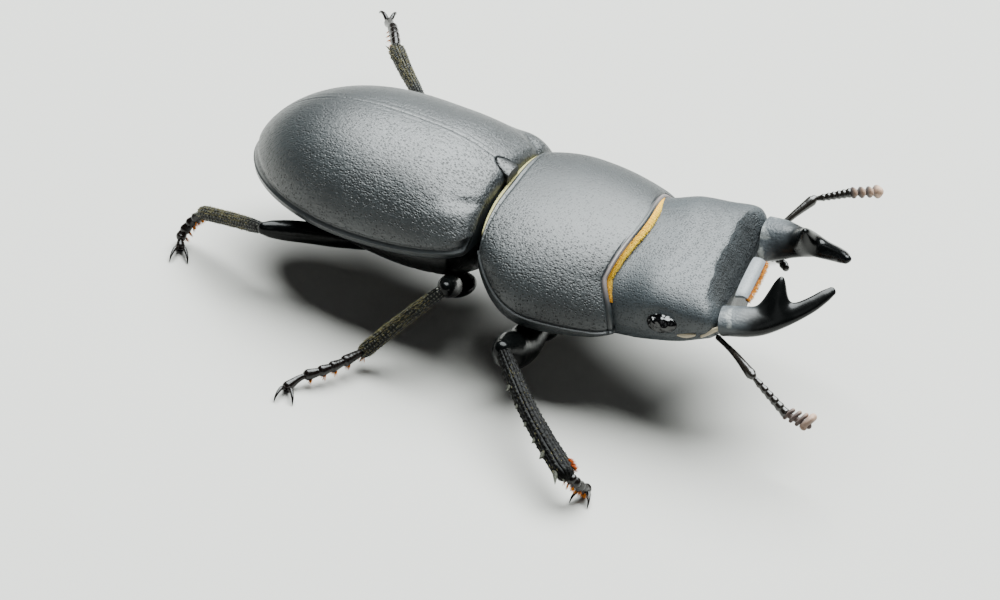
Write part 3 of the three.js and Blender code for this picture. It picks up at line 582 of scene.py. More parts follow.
def wing_case(side):
    rows, columns = 260, 190
    q = np.linspace(0, 1, rows)
    s = (0.5 - 0.5 * np.cos(math.pi * q)) * 0.9992
    angle = math.pi / 2 * np.linspace(0, 1, columns) ** 1.25
    half, rim = wing_half(s)[:, None], wing_rim(s)[:, None]
    dome = np.maximum(wing_top(s)[:, None] - rim, 0.05)
    y = np.maximum(half * np.cos(angle) ** 0.96, 0)
    z = rim + dome * np.sin(angle) ** 0.96
    share = y / np.maximum(half, 1e-6)
    reach_round = WING_REACH * share ** 3 * (1 - 0.8 * step_up(0.93, 1.0, share))
    x = -GAP - s[:, None] * WING_LENGTH + reach_round * (1 - s[:, None]) ** 12
    top = np.stack([x, y, z], -1)

    from_rim = run_length(top, 1)
    from_suture = from_rim[:, -1:] - from_rim
    along = s[:, None] * WING_LENGTH
    out = -net_normals(top)
    out *= np.where(out[:, columns // 2, 2].mean() > 0, 1, -1)
    lift = wing_relief(s, along, from_rim, from_suture, shield_reach(x, y)) * step_up(0, 0.25, half)
    top = top + out * lift[..., None]
    top[..., 1] = np.maximum(top[..., 1], SEAM)

    edge = np.minimum(WING_EDGE, 0.12 + dome * 0.3)[..., None]
    wall = top[:, -1:] + np.array([0, 0, -1]) * edge * np.linspace(0.25, 1, 4)[None, :, None]
    wall[..., 2] = np.maximum(wall[..., 2], rim - 1)
    under_x = x[:, 0] - 0.1 * WING_REACH * (1 - s) ** 12
    under = [
        np.stack([
            under_x, np.maximum(half[:, 0] * share, 0.02), rim[:, 0] - edge[:, 0, 0] * drop,
        ], -1)[:, None]
        for share, drop in WING_UNDER
    ]
    ring = np.concatenate([top, wall] + under, 1)

    place = np.zeros(ring.shape)
    place[..., 0] = along
    place[:, :columns, 1] = from_suture
    place[:, columns:, 1] = ring[:, columns:, 1] * 0.9
    place[:, columns:, 2] = 1.0
    place[..., 1] += RIGHT_PATTERN_SHIFT * (side < 0)
    coarse = np.zeros(ring.shape[:2])
    coarse[:, :columns] = wing_coarseness(along, from_rim, from_suture)
    ring[..., 1] *= side
    points, faces = capped(ring)
    place = np.concatenate([place.reshape(-1, 3), place[0].mean(0)[None], place[-1].mean(0)[None]])
    return points, turn_out(points, faces), {"shell_mm": place, "coarse": with_caps(coarse)}


print("lines on the underside of a wing case:", len(WING_UNDER))

# %% [markdown]
# ## Wing case finish
# Satin chitin: the fine wrinkles spread the light into one wide soft glow. The pits sit
# about 0.13 mm apart in faint rows and are a few hundredths of a millimetre deep. Closer
# ones would be too fine to show at this size, so they aren't drawn finer. A thin clear coat
# stands for the wax that covers the shell.

# %% Wing case finish
wing_chitin = pitted_chitin(
    "wing_case_chitin", "#181c1e", "#212628", 0.44, pit_mm=0.13, depth_mm=0.03, row_share=0.8,
    wrinkle_mm=0.3, Coat_Weight=0.35, Coat_Roughness=0.34,
)
SIDES = ((1, "left"), (-1, "right"))

for side, side_name in SIDES:
    points, faces, values = wing_case(side)
    make_piece(
        f"wing_case_{side_name}", points, faces, BODY, wing_chitin,
        [f"elytron_{side_name}"], values, crease=55,
    )

# %% [markdown]
# ## Scutellum
# The small shield where the two wing cases and the prothorax meet. It is a low dome with a
# rounded tip, smoother than what is round it and painted darker, as shade in its sunken
# seat. Its outline comes from the same sizes as its seat in the wing cases, so that the two
# always fit.

# %% Scutellum
def scutellum():
    p = np.sin(np.linspace(0.0, 1, 30) * math.pi / 2)
    half = SHIELD_HALF * np.sqrt(np.maximum(1 - p ** 1.7, 0))
    a = np.linspace(0, 2 * math.pi, 48, endpoint=False)
    rings = []
    level = wing_top(np.clip(p * SHIELD_LENGTH / WING_LENGTH, 0, 1))
    for k in range(len(p)):
        y = half[k] * np.cos(a)
        bulge = 0.1 * np.maximum(1 - (y / SHIELD_HALF) ** 2 - 0.6 * p[k] ** 2, 0)
        top = level[k] - 0.03 + bulge
        z = np.where(np.sin(a) > 0, top - 0.16 * (1 - np.maximum(np.sin(a), 0) ** 0.3), level[k] - 0.45)
        rings.append(np.stack([np.full_like(y, -0.02 - SHIELD_LENGTH * p[k]), y, z], -1))
    return capped(np.array(rings))


# Darker colour: painted shade of the sunken shield.
smooth_shaded_chitin = pitted_chitin(
    "scutellum_chitin", "#0c0e0f", "#141718", 0.42, pit_mm=0.16, depth_mm=0.02,
    Coat_Weight=0.1, Coat_Roughness=0.35,
)
points, faces = scutellum()
make_piece(
    "scutellum_shield", points, turn_out(points, faces), BODY, smooth_shaded_chitin,
    ["scutellum"], {"shell_mm": points, "coarse": np.full(len(points), 0.6)},
)

# %% [markdown]
# ## Prothorax
# One rounded box with a shield on top, the pronotum. Its side rim and hind rim are fine
# beads. The front rim is a smooth band with a narrow groove behind it, and the front
# corners reach forward round the head. The whole ring is one closed net: columns go over
# the top from left rim to right rim, then back underneath.

# %% Prothorax shape
PRONOTUM_WIDTH = 10.44
PRONOTUM_FRONT = 8.78
RIM_DROP = 0.16  # how much lower the finished side rim lies than that of the solid
WIDEST_AT = 0.42  # share of the length from the rear


def front_margin(u):
    lobe = 0.3 * (np.exp(-(u / 0.55) ** 2) - 1)
    corner = 0.85 * np.clip((u - 0.78) / 0.22, 0, 1) ** 1.5
    return PRONOTUM_LENGTH + lobe + corner


def rear_margin(u):
    return 0.23 * np.clip((u - 0.3) / 0.7, 0, 1) ** 2


def pronotum_half(s):
    rear = PRONOTUM_WIDTH / 2 * (1 - 0.3 * np.clip(1 - s / WIDEST_AT, 0, 1) ** 2.18)
    t = np.clip((s - WIDEST_AT) / (1 - WIDEST_AT), 0, 1)
    front = PRONOTUM_FRONT / 2 + (PRONOTUM_WIDTH - PRONOTUM_FRONT) / 2 * (1 - t ** 1.8)
    front = front * (1 - 0.07 * np.clip((s - 0.88) / 0.12, 0, 1) ** 2)
    return np.where(s < WIDEST_AT, rear, front)


def pronotum_levels(s):
    """Height of the side rim, rise of the dome above it, and depth of the underside."""
    rim = 1.35 * (1 - np.clip(s / 0.5, 0, 1)) ** 2 + PRONOTUM_LIFT - RIM_DROP
    height = 2.39 + (2.58 - 2.39) * s + 0.22 * np.sin(math.pi * s)
    depth = 2.25 * (0.62 + 0.38 * np.sin(math.pi * np.clip(s * 0.9 + 0.08, 0, 1)))
    return rim, height + PRONOTUM_LIFT - rim, depth


def pronotum_top(s, angle):
    """Points of the upper side; angle runs from the left rim (0) to the right rim (pi)."""
    s, angle = np.broadcast_arrays(s, angle)
    rim, dome, _ = pronotum_levels(s)
    c = power(np.cos(angle), 0.885)
    u = np.abs(c)
    x = rear_margin(u) * (1 - s) + front_margin(u) * s
    z = rim + dome * np.maximum(np.sin(angle), 0) ** 0.885
    return np.stack([x, pronotum_half(s) * c, z], -1)


print("the pronotum is", round(2 * float(pronotum_half(WIDEST_AT)), 2), "mm wide")

# %% [markdown]
# ## Rims of the pronotum
# The side rim is a bead with a groove inside it, the front rim a smooth flat band behind a
# groove, and the hind rim a low bead that turns down into the joint. They are lifted out of
# the finished dome along its own normals, so that they stay the same width all the way
# round, which a separate strip laid on the shell would not.

# %% Rims of the pronotum
SIDE_BEAD = (0.07, 0.05, 0.04)
SIDE_GROOVE = (0.05, 0.15, 0.045)
FRONT_BAND = 0.27
HIND_BEAD = (0.02, 0.12, 0.07)
HIND_GROOVE = (0.03, 0.28, 0.06)


def raised(distance, form):
    high, place, width = form
    return high * bell(distance, place, width)


def pronotum_relief(from_side, from_front, from_rear, sideways):
    """How far each point stands out from the plain dome."""
    lift = raised(from_side, SIDE_BEAD) - raised(from_side, SIDE_GROOVE)
    lift = lift - sideways * raised(from_front, (0.06, FRONT_BAND, 0.04))
    lift = lift + raised(from_front, (0.03, FRONT_BAND / 2, 0.07)) - 0.1 * np.exp(-from_front / 0.04)
    lift = lift + raised(from_rear, HIND_BEAD) - raised(from_rear, HIND_GROOVE)
    return lift - 0.18 * np.exp(-from_rear / 0.07)


def pronotum_coarseness(from_side, from_front, from_rear):
    """Strength of the pits: none on the rims, weak along the middle, full on the flanks."""
    off_rims = step_up(0.1, 0.2, from_side) * step_up(FRONT_BAND, FRONT_BAND + 0.12, from_front)
    off_rims = off_rims * step_up(0.1, 0.3, from_rear)
    return off_rims * (0.2 + 0.8 * step_up(5.5, 2.0, from_side))


print("side bead", SIDE_BEAD[0], "mm high, groove", SIDE_GROOVE[0], "mm deep")

# %% [markdown]
# ## Prothorax as a closed net
# The columns are packed closer toward the two side rims, where the bead needs them. The
# underside starts a little inside the rim, so that the rim casts its own thin shadow.

# %% Prothorax as a closed net
UNDER_STEP = 0.06  # from the side rim down to the start of the underside
UNDER_WIDTH = 0.96


def prothorax():
    rows, columns, below = 216, 400, 60
    q = np.linspace(0, 1, rows)
    s = (0.5 - 0.5 * np.cos(math.pi * q))[:, None]
    spread = np.linspace(-1, 1, columns)
    spread = spread * (1.35 - 0.35 * spread ** 2)
    angle = (math.pi / 2 * (1 + spread))[None, :]
    top = pronotum_top(s, angle)
    out = net_normals(top)
    out *= np.where(out[rows // 2, columns // 2, 2] > 0, 1, -1)

    across, from_rear = run_length(top, 1), run_length(top, 0)
    from_side = np.minimum(across, across[:, -1:] - across)
    from_front = from_rear[-1:] - from_rear
    sideways = step_up(0.12, 0.5, np.abs(np.cos(angle)))
    lift = pronotum_relief(from_side, from_front, from_rear, sideways)
    top = top + out * lift[..., None]

    rim, _, depth = pronotum_levels(s)
    turn_under = np.linspace(math.pi, 0, below + 2)[None, 1:-1]
    c = power(np.cos(turn_under), 1.05)
    u = np.abs(c)
    low = rim - UNDER_STEP - (rim - UNDER_STEP + depth) * np.sin(turn_under) ** 1.05
    x = rear_margin(u) * (1 - s) + front_margin(u) * s
    y = np.broadcast_to(UNDER_WIDTH * pronotum_half(s) * c, x.shape)
    ring = np.concatenate([top, np.stack([x, y, low], -1)], 1)

    place = ring.copy()
    place[:, :columns, 1] = across - across[:, -1:] / 2
    place[:, :columns, 2] = 0
    coarse = np.full(ring.shape[:2], 0.5)
    coarse[:, :columns] = pronotum_coarseness(from_side, from_front, from_rear)
    rim_share = np.zeros(ring.shape[:2])
    fade = step_up(0.97, 0.75, np.abs(np.cos(angle)))
    rim_share[:, :columns] = step_up(FRONT_BAND, FRONT_BAND - 0.06, from_front) * sideways * fade
    points, faces = capped(ring)
    place = np.concatenate([place.reshape(-1, 3), place[0].mean(0)[None], place[-1].mean(0)[None]])
    values = {"shell_mm": place, "coarse": with_caps(coarse), "rim": with_caps(np.clip(rim_share, 0, 1))}
    return points, turn_out(points, faces), values


print("the underside starts", UNDER_STEP, "mm below the side rim")

# %% [markdown]
# ## Pronotum finish
# The same satin chitin, a touch duller than the wing cases and with pits in no rows, 0.115
# mm apart. The front rim is smooth, and paler and browner than the rest.

# %% Pronotum finish
shield_chitin = pitted_chitin(
    "pronotum_chitin", "#191d1f", "#222729", 0.46, pit_mm=0.115, depth_mm=0.03, rim="#6b6260",
    Coat_Weight=0.2, Coat_Roughness=0.4,
)
points, faces, values = prothorax()
make_piece(
    "prothorax_shell", points, faces, PROTHORAX, shield_chitin,
    ["prothorax"], values, crease=55,
)

# %% [markdown]
# ## Head
# A broad flat box. In front the brow falls into a hollow that leads down to the upper lip,
# and the front corners stand out as rounded lobes over the roots of the jaws.

# %% Head shape
HEAD_SIDE = [
    (-1.1, 3.8), (0, 3.92), (1.2, 4.06), (2.4, 4.12), (3.3, 4.12), (3.9, 4.08), (4.15, 3.88), (4.3, 3.58),
]
HEAD_TOP = [(-1.1, 2.2), (0, 2.3), (1.5, 2.27), (2.6, 2.12), (3.3, 2.0), (3.7, 1.92), (4.0, 1.72), (4.3, 1.3)]
HEAD_RIM = [(-1.1, 0.25), (0.5, 0.25), (2.6, 0.35), (3.6, 0.62), (4.3, 0.7)]
HEAD_UNDER = [(-1.1, 1.5), (0, 1.55), (2, 1.3), (3.4, 0.95), (4.3, 0.6)]
BROW_EDGE = 3.66
EYE_PLACE_MM = (2.1, 3.9, 0.74)


HEAD_BACK, HEAD_FRONT = -1.1, 4.3
HOLLOW_DEPTH = 0.86
HOLLOW_HALF = 3.0


def brow_edge(y):
    """Where the brow starts to fall: a slightly uneven line that bends back in the middle."""
    uneven = 0.04 * np.sin(2.3 * y + 0.4) + 0.025 * np.sin(6.1 * y)
    return BROW_EDGE - 0.08 + 0.1 * (np.abs(y) / 3) ** 2 + uneven


def eye_socket(ring):
    """A shallow ring pressed into both sides of the head round the eyes."""
    x, y, z = EYE_PLACE_MM
    for side in (1, -1):
        gap = (ring - np.array([x, side * y, z])) / np.array([0.78, 0.7, 0.52])
        ring[..., 1] -= side * 0.05 * bell(np.linalg.norm(gap, axis=-1), 1.0, 0.25)


def head_shell():
    columns, below = 300, 60
    x = np.concatenate([np.linspace(HEAD_BACK, 3.4, 110), np.linspace(3.42, HEAD_FRONT, 130)])[:, None]
    angle = np.linspace(0, math.pi, columns)[None, :]
    half, top = curve_through(HEAD_SIDE, x), curve_through(HEAD_TOP, x)
    rim, under = curve_through(HEAD_RIM, x), curve_through(HEAD_UNDER, x)
    boxy = step_up(0.2, 1.6, x)
    sideways, upward = 0.86 - 0.12 * boxy, 0.84 - 0.22 * boxy
    y = half * power(np.cos(angle), sideways)
    edge = brow_edge(y)
    t = np.clip((x - edge) / (HEAD_FRONT - BROW_EDGE), 0, 1)
    fall = (1.18 * t ** 2 / (t + 0.18)) ** 0.75
    between_lobes = np.exp(-(np.abs(y) / HOLLOW_HALF) ** 8)
    arch = (top - rim) * np.maximum(np.sin(angle), 0) ** upward
    z = rim + arch - HOLLOW_DEPTH * fall * between_lobes
    upper = np.stack([np.broadcast_to(x, y.shape), y, z], -1)
    turn_under = np.linspace(math.pi, 2 * math.pi, below + 2)[None, 1:-1]
    c = power(np.cos(turn_under), 0.95)
    low = rim - (rim + under) * (-np.sin(turn_under)) ** 0.95
    lower = np.stack([np.broadcast_to(x, low.shape), 0.985 * half * c, low], -1)
    ring = np.concatenate([upper, lower], 1)
    eye_socket(ring)
    slope = np.zeros(ring.shape[:2])
    slope[:, :columns] = step_up(-0.2, 0.34, x - edge) * between_lobes
    points, faces = capped(ring)
    # The brow hollow gets stronger pits, and its dull value makes it rougher and also paints it darker as
    # shade.
    values = {"shell_mm": points, "coarse": with_caps(0.6 + 2.6 * slope), "dull": with_caps(slope)}
    return points, turn_out(points, faces), values


print("the brow falls in by up to", HOLLOW_DEPTH, "mm")

# %% [markdown]
# ## Head finish
# Very fine pits, 0.1 mm apart, make the top of the head the dullest shell of all. In the
# hollow of the brow they are deep and crowded, so that it looks rough, and the hollow is
# painted darker as shade.

# %% Head finish
head_chitin = pitted_chitin(
    "head_chitin", "#20262a", "#2b3236", 0.52, pit_mm=0.1, depth_mm=0.02, wrinkle_mm=0.22,
    Coat_Weight=0.2, Coat_Roughness=0.42,
)
points, faces, values = head_shell()
make_piece(
    "head_shell", points, faces, HEAD, head_chitin, ["head"], values, crease=60,
)

# %% [markdown]
# ## Eyes
# A beetle's eye is a dome of many tiny lenses. Single lenses are too fine to show, so they
# are drawn coarser, about 0.06 mm across. The dome is also made slightly uneven, which
# breaks up its reflections.

# %% Eyes
EYE_HALF_MM = (0.68, 0.55, 0.42)
LENS_MM_WIDE = 0.0625
LUMPS_PER_MM = 2.6


def eye_finish():
    """Polished lenses in a slightly uneven dome."""
    material, tree, shader = new_finish("eye_lens_chitin", "#040405", 0.1)
    place = add_node(tree, "ShaderNodeTexCoord").outputs["Object"]
    dome = add_node(tree, "ShaderNodeTexNoise", {
        "Vector": place, "Scale": 1000 * LUMPS_PER_MM, "Detail": 1.0,
    })
    lenses = add_node(tree, "ShaderNodeTexVoronoi", {"Vector": place, "Scale": 1000 / LENS_MM_WIDE})
    uneven = bump(tree, dome.outputs["Fac"], 1.0, 0.22)
    facets = bump(tree, lenses.outputs["Distance"], 0.5, 0.008, uneven)
    tree.links.new(facets, shader.inputs["Normal"])
    return material


eye_gloss = eye_finish()


def ball(centre, rx, ry, rz, across=48, down=32):
    t = np.linspace(0.02, math.pi - 0.02, down)[:, None]
    a = np.linspace(0, 2 * math.pi, across, endpoint=False)[None, :]
    x, y = rx * np.sin(t) * np.cos(a), ry * np.sin(t) * np.sin(a)
    return capped(np.stack([x, y, rz * np.cos(t) * np.ones_like(a)], -1) + np.array(centre))


for side, side_name in SIDES:
    x, y, z = EYE_PLACE_MM
    points, faces = ball((x, side * y, z), *EYE_HALF_MM)
    make_piece(
        f"eye_ball_{side_name}", points, turn_out(points, faces), HEAD, eye_gloss,
        [f"eye_{side_name}"],
    )

# %% [markdown]
# ## Upper lip
# A pale horn plate between the jaws, thin at its front edge, where the hair stands. It is a
# flat net from the mouth forward, rounded off at its corners.

# %% Upper lip
LIP_HALF = 1.36
LIP_START, LIP_LENGTH = 4.38, 0.54
LIP_THICK = 0.34


def upper_lip():
    v = np.linspace(-1, 1, 60)
    rings = []
    for k in np.linspace(0, 1, 24):
        wide = LIP_HALF - 0.06 * k
        y = v * wide
        x = LIP_START + LIP_LENGTH * k * (1 - 0.08 * np.abs(v) ** 4)
        thick = LIP_THICK * (1 - 0.6 * k ** 6) * (1 - 0.5 * np.abs(v) ** 8)
        z = 0.57 - 0.06 * k + 0.05 * np.sin(math.pi * k)
        upper = np.stack([x, y, z + thick / 2 - 0.05 * (y / wide) ** 2], -1)
        lower = np.stack([x, y, np.full_like(y, z) - thick / 2], -1)[::-1]
        rings.append(np.concatenate([upper, lower]))
    return capped(np.array(rings))


lip_chitin = pitted_chitin("lip_chitin", "#6c7074", "#7d8184", 0.5, pit_mm=0.12, depth_mm=0.015)
points, faces = upper_lip()
make_piece(
    "upper_lip", points, turn_out(points, faces), HEAD, lip_chitin, ["labrum"],
    {"shell_mm": points, "coarse": np.full(len(points), 0.2)},
)

# %% [markdown]
# ## Tubes along a curve
# Legs, feelers and jaws are all tubes whose width changes along a smooth middle line.
# Blender's own curves could be bevelled to the same end, but a net of rings can also be
# pulled out into a tooth or covered with grains afterwards.

# %% Tubes along a curve
def smooth_path(points, count):
    """Centripetal Catmull-Rom curve through the points."""
    p = np.array(points, float)
    p = np.concatenate([[2 * p[0] - p[1]], p, [2 * p[-1] - p[-2]]])
    result = []
    spans = len(p) - 3
    for t in np.linspace(0, spans, count):
        i = min(int(t), spans - 1)
        w = t - i
        p0, p1, p2, p3 = p[i:i + 4]
        d1, d2, d3 = (max(np.sum((b - a) ** 2) ** 0.25, 1e-6) for a, b in ((p0, p1), (p1, p2), (p2, p3)))
        m1 = (p1 - p0) / d1 - (p2 - p0) / (d1 + d2) + (p2 - p1) / d2
        m2 = (p2 - p1) / d2 - (p3 - p1) / (d2 + d3) + (p3 - p2) / d3
        m1, m2 = m1 * d2, m2 * d2
        result.append(
            p1 + m1 * w + (3 * (p2 - p1) - 2 * m1 - m2) * w ** 2 + (2 * (p1 - p2) + m1 + m2) * w ** 3
        )
    return np.array(result)


def path_frame(path, side):
    """Unit vectors ahead, across and up at each point of a path."""
    ahead = unit(np.gradient(path, axis=0))
    side = np.broadcast_to(np.asarray(side, float), path.shape)
    across = unit(side - ahead * np.sum(ahead * side, axis=1)[:, None])
    return ahead, across, np.cross(ahead, across)


def tube(path, wide, deep, side=(0, 0, 1), around=32, round_ends=(True, True), keel=0.0):
    """Tube with half widths per point, narrower on top by the keel; rounded ends get extra rings."""
    ahead, across, up = path_frame(path, side)
    wide, deep = np.broadcast_to(wide, len(path)), np.broadcast_to(deep, len(path))
    a = np.linspace(0, 2 * math.pi, around, endpoint=False)[None, :, None]
    rings = (
        path[:, None]
        + across[:, None] * np.cos(a) * (1 - keel * np.sin(a)) * wide[:, None, None]
        + up[:, None] * np.sin(a) * deep[:, None, None]
    )
    rings = list(rings)
    for end in (0, -1):
        if not round_ends[end]:
            continue
        middle = path[end]
        sign = -1 if end == 0 else 1
        extra = []
        for t in (0.3, 0.6, 0.8, 0.93, 0.99):
            shrink = math.sqrt(1 - t * t)
            reach = sign * ahead[end] * t * min(wide[end], deep[end])
            extra.append(middle + (rings[end] - middle) * shrink + reach)
        rings = extra[::-1] + rings if end == 0 else rings + extra
    return np.array(rings)


def thorn(base, tip, radius, around=10, sink=0.3):
    """A small tooth or spine with a slightly hollow flank, rooted below the surface."""
    base, tip = np.array(base, float), np.array(tip, float)
    t = np.linspace(-sink, 1, 9)
    path = base + (tip - base) * t[:, None]
    size = radius * np.clip(1 - t, 0.04, 1) ** 0.8
    side = (0, 0, 1) if abs((tip - base)[2]) < 0.8 * np.linalg.norm(tip - base) else (1, 0, 0)
    return capped(tube(path, size, size, side, around, (False, True)))


print("rings of a short round-ended tube:", len(tube(np.eye(3), 0.2, 0.2)))

# %% [markdown]
# ## Jaws
# The male's jaws curve inward and up, each with one broad tooth on the inner edge. The tooth
# grows out of the jaw with hollow flanks, so it is drawn out of the same net: points near
# the tooth's axis are pulled toward its tip.

# %% Jaws
# Middle line of the left jaw from root to tip, then its half width and half depth.
JAW_PATH = [
    (4.37, 2.98, 0.5, 0.9, 0.62),
    (5.1, 2.92, 0.57, 0.86, 0.62),
    (5.8, 2.8, 0.65, 0.72, 0.56),
    (6.5, 2.54, 0.79, 0.56, 0.47),
    (7.15, 2.2, 0.9, 0.42, 0.35),
    (7.75, 1.77, 1.1, 0.34, 0.3),
    (8.15, 1.38, 1.28, 0.28, 0.25),
    (8.38, 1.13, 1.37, 0.2, 0.18),
]
ROOT_TILT = 35
TOOTH_BASE = np.array([6.24, 2.44, 0.8])
TOOTH_TIP = np.array([6.49, 1.62, 2.13])
TOOTH_RADIUS = 0.43
CONDYLE = np.array([4.45, 2.16, 0.22])  # knob of the joint at the inner side of the root
CONDYLE_RADIUS, CONDYLE_HEIGHT = 0.4, 0.3
KEEL = 0.3


def jaw(side):
    count = 320
    key = np.linspace(0, len(JAW_PATH) - 1, count)
    path = smooth_path([row[:3] for row in JAW_PATH], count)
    knots = np.arange(len(JAW_PATH))
    wide = curve_through(list(zip(knots, [row[3] for row in JAW_PATH])), key)
    deep = curve_through(list(zip(knots, [row[4] for row in JAW_PATH])), key)
    tilt = math.radians(ROOT_TILT) * (1 - step_up(0, 0.45, np.linspace(0, 1, count)))
    outer = np.stack([0 * tilt, np.cos(tilt), np.sin(tilt)], -1)
    rings = tube(path, wide, deep, outer, 120, (False, True), KEEL)
    # The jaw's upper side is painted paler and its underside darker, as light from above.
    upper = np.clip(0.55 + 1.3 * (rings[..., 2] - rings[..., 2].mean(axis=1, keepdims=True)), 0, 1)
    knob = bell(np.linalg.norm(rings - CONDYLE, axis=-1), 0, CONDYLE_RADIUS)
    outward = unit(rings - rings.mean(axis=1, keepdims=True))
    rings = rings + outward * CONDYLE_HEIGHT * knob[..., None]
    way = unit(TOOTH_TIP - TOOTH_BASE)
    length = np.linalg.norm(TOOTH_TIP - TOOTH_BASE)
    offset = rings - TOOTH_BASE
    height = offset @ way
    aside = np.linalg.norm(offset - height[..., None] * way, axis=-1)
    facing = step_up(-0.1, 0.25, height)
    pull = np.exp(-(aside / TOOTH_RADIUS) ** 2.2) * facing
    rings = rings + way * (np.maximum(length - height, 0) * pull)[..., None]
    # Pale dull root; its paler top and black underside are painted light and shade.
    worn = (1 - np.clip((rings[..., 0] - 4.9) / 1.3, 0, 1)) * upper
    polish_and_shade = 1 - with_caps(worn + knob)
    rings[..., 1] *= side
    points, faces = capped(rings)
    coarse = 0.7 * np.clip(1 - polish_and_shade, 0, 1) ** 2
    return points, turn_out(points, faces), {"shell_mm": points, "coarse": coarse, "polish_and_shade": polish_and_shade}


print("tooth", round(float(np.linalg.norm(TOOTH_TIP - TOOTH_BASE)), 2), "mm from root to tip")

# %% [markdown]
# ## Jaw finish
# The root of a jaw is dull and greyish, and the rest has a black polish. The root is also
# painted paler on its top and black underneath, as light from above. A texture painted by
# hand would do, but the net knows best where its root is. Its value for polish, which also
# carries the painted light and shade of the root, blends the two, broken up a little by
# noise, so that the change doesn't look painted on.

# %% Jaw finish
DULL_SHARE, POLISHED_SHARE = 0.35, 1.3


def jaw_finish():
    material, tree, shader = new_finish("jaw_chitin", "#121416", 0.3, Specular_IOR_Level=0.36)
    place = net_value(tree, "shell_mm").outputs["Vector"]
    blotch = add_node(tree, "ShaderNodeTexNoise", {"Vector": place, "Scale": 2.0, "Detail": 3.0})
    share = add_node(tree, "ShaderNodeMath", {
        0: blotch.outputs["Fac"], 1: 0.5, 2: net_value(tree, "polish_and_shade").outputs["Fac"],
    }, operation="MULTIPLY_ADD").outputs[0]
    for socket, dull, polished in (("Roughness", 0.52, 0.24), ("Specular IOR Level", 0.45, 0.2)):
        level = add_node(tree, "ShaderNodeMapRange", {
            "Value": share, "From Min": DULL_SHARE, "From Max": POLISHED_SHARE,
            "To Min": dull, "To Max": polished,
        })
        tree.links.new(level.outputs[0], shader.inputs[socket])
    # Pale grey at the dull root, near black where polished and where the root's underside is painted in
    # shade.
    tone = add_node(tree, "ShaderNodeValToRGB", {"Fac": share})
    tone.color_ramp.elements[0].position = 0.0
    tone.color_ramp.elements[0].color = linear("#b9bcb8")
    tone.color_ramp.elements[1].position = 0.95
    tone.color_ramp.elements[1].color = linear("#050606")
    tone.color_ramp.elements.new(0.25).color = linear("#3f4448")
    tree.links.new(tone.outputs["Color"], shader.inputs["Base Color"])
    pits = add_node(tree, "ShaderNodeTexNoise", {"Vector": place, "Scale": 8.0, "Detail": 3.0})
    relief = bump(tree, pits.outputs["Fac"], net_value(tree, "coarse").outputs["Fac"], 0.06)
    tree.links.new(relief, shader.inputs["Normal"])
    return material


jaw_chitin = jaw_finish()
for side, side_name in SIDES:
    points, faces, values = jaw(side)
    make_piece(
        f"jaw_{side_name}", points, faces, HEAD, jaw_chitin,
        [f"mandible_{side_name}"], values,
    )

# %% [markdown]
# ## Feelers and palps
# A stag beetle's feeler is elbowed: one long first joint, six short cup-shaped ones, and a
# club of four leaves that all stand out on one side. Each kind is made by its own function,
# with the same widths on both sides. The lengths follow from the places below, and they
# aren't equal: the row of cups is 1.5 mm long on the left and 2.0 mm on the right.

# %% Feelers
# Socket, elbow, start of the club and tip.
FEELERS = {
    "left": ((4.05, 3.35, -0.3), (5.7, 5.6, 0.8), (7.1, 6.1, 1.0), (8.3, 6.5, 1.0)),
    "right": ((4.15, -3.1, -0.3), (6.25, -5.3, -0.2), (7.75, -5.85, -1.4), (8.78, -6.1, -1.66)),
}


def body_finish(name, colour, roughness, grain_mm, depth_mm, pale=None, **constants):
    """Plain chitin with a fine grain; the net's "pale" value brings in the pale colour: the paler leaf edges
    of a feeler club, a painted highlight on the shins.
    """
    material, tree, shader = new_finish(name, colour, roughness, **constants)
    if pale:
        tone = add_node(tree, "ShaderNodeValToRGB", {"Fac": net_value(tree, "pale").outputs["Fac"]})
        tone.color_ramp.elements[0].color = linear(colour)
        tone.color_ramp.elements[1].color = linear(pale)
        tree.links.new(tone.outputs["Color"], shader.inputs["Base Color"])
    grain = add_node(tree, "ShaderNodeTexNoise", {
        "Vector": add_node(tree, "ShaderNodeTexCoord").outputs["Object"],
        "Scale": 1000 / grain_mm, "Detail": 3.0,
    }).outputs["Fac"]
    tree.links.new(bump(tree, grain, 0.6, depth_mm), shader.inputs["Normal"])
    gloss = add_node(tree, "ShaderNodeMapRange", {
        "Value": grain, "From Min": 0.3, "From Max": 0.7,
        "To Min": roughness * 0.85, "To Max": roughness * 1.25,
    })
    tree.links.new(gloss.outputs[0], shader.inputs["Roughness"])
    print(f"{name}: grain {grain_mm} mm wide and {depth_mm} mm deep")
    return material


# Polished blackish chitin, velvety brown chitin under fine down, and soft pale skin.
feeler_chitin = body_finish(
    "feeler_chitin", "#17130f", 0.25, 0.2, 0.008, Coat_Weight=0.3, Coat_Roughness=0.1,
)
club_chitin = body_finish(
    "feeler_club_chitin", "#38231a", 0.6, 0.05, 0.01, pale="#b08f78", Sheen_Weight=0.2,
)
joint_skin = body_finish("joint_skin", "#a89c84", 0.6, 0.05, 0.01)


def feeler_scape(side_name, start, elbow):
    bow = (start + elbow) / 2 + np.array([0, 0, 0.12])
    path = smooth_path([start, bow, elbow], 60)
    swell = [(0, 0.12), (0.15, 0.11), (0.6, 0.15), (0.86, 0.2), (0.96, 0.22), (1, 0.17)]
    size = curve_through(swell, np.linspace(0, 1, 60))
    points, faces = capped(tube(path, size, size))
    make_piece(
        f"feeler_{side_name}_scape", points, turn_out(points, faces), HEAD, feeler_chitin,
        [f"antenna_{side_name}_scape"],
    )


# %% [markdown]
# ## Middle joints of a feeler
# Six small cups, each wider at its far end, with a ring of soft skin in each gap. The skin
# is a piece of its own, because its finish is another.

# %% Middle joints of a feeler
CUPS = 6
CUP_SHARE = 0.86  # of each step; the rest is the gap


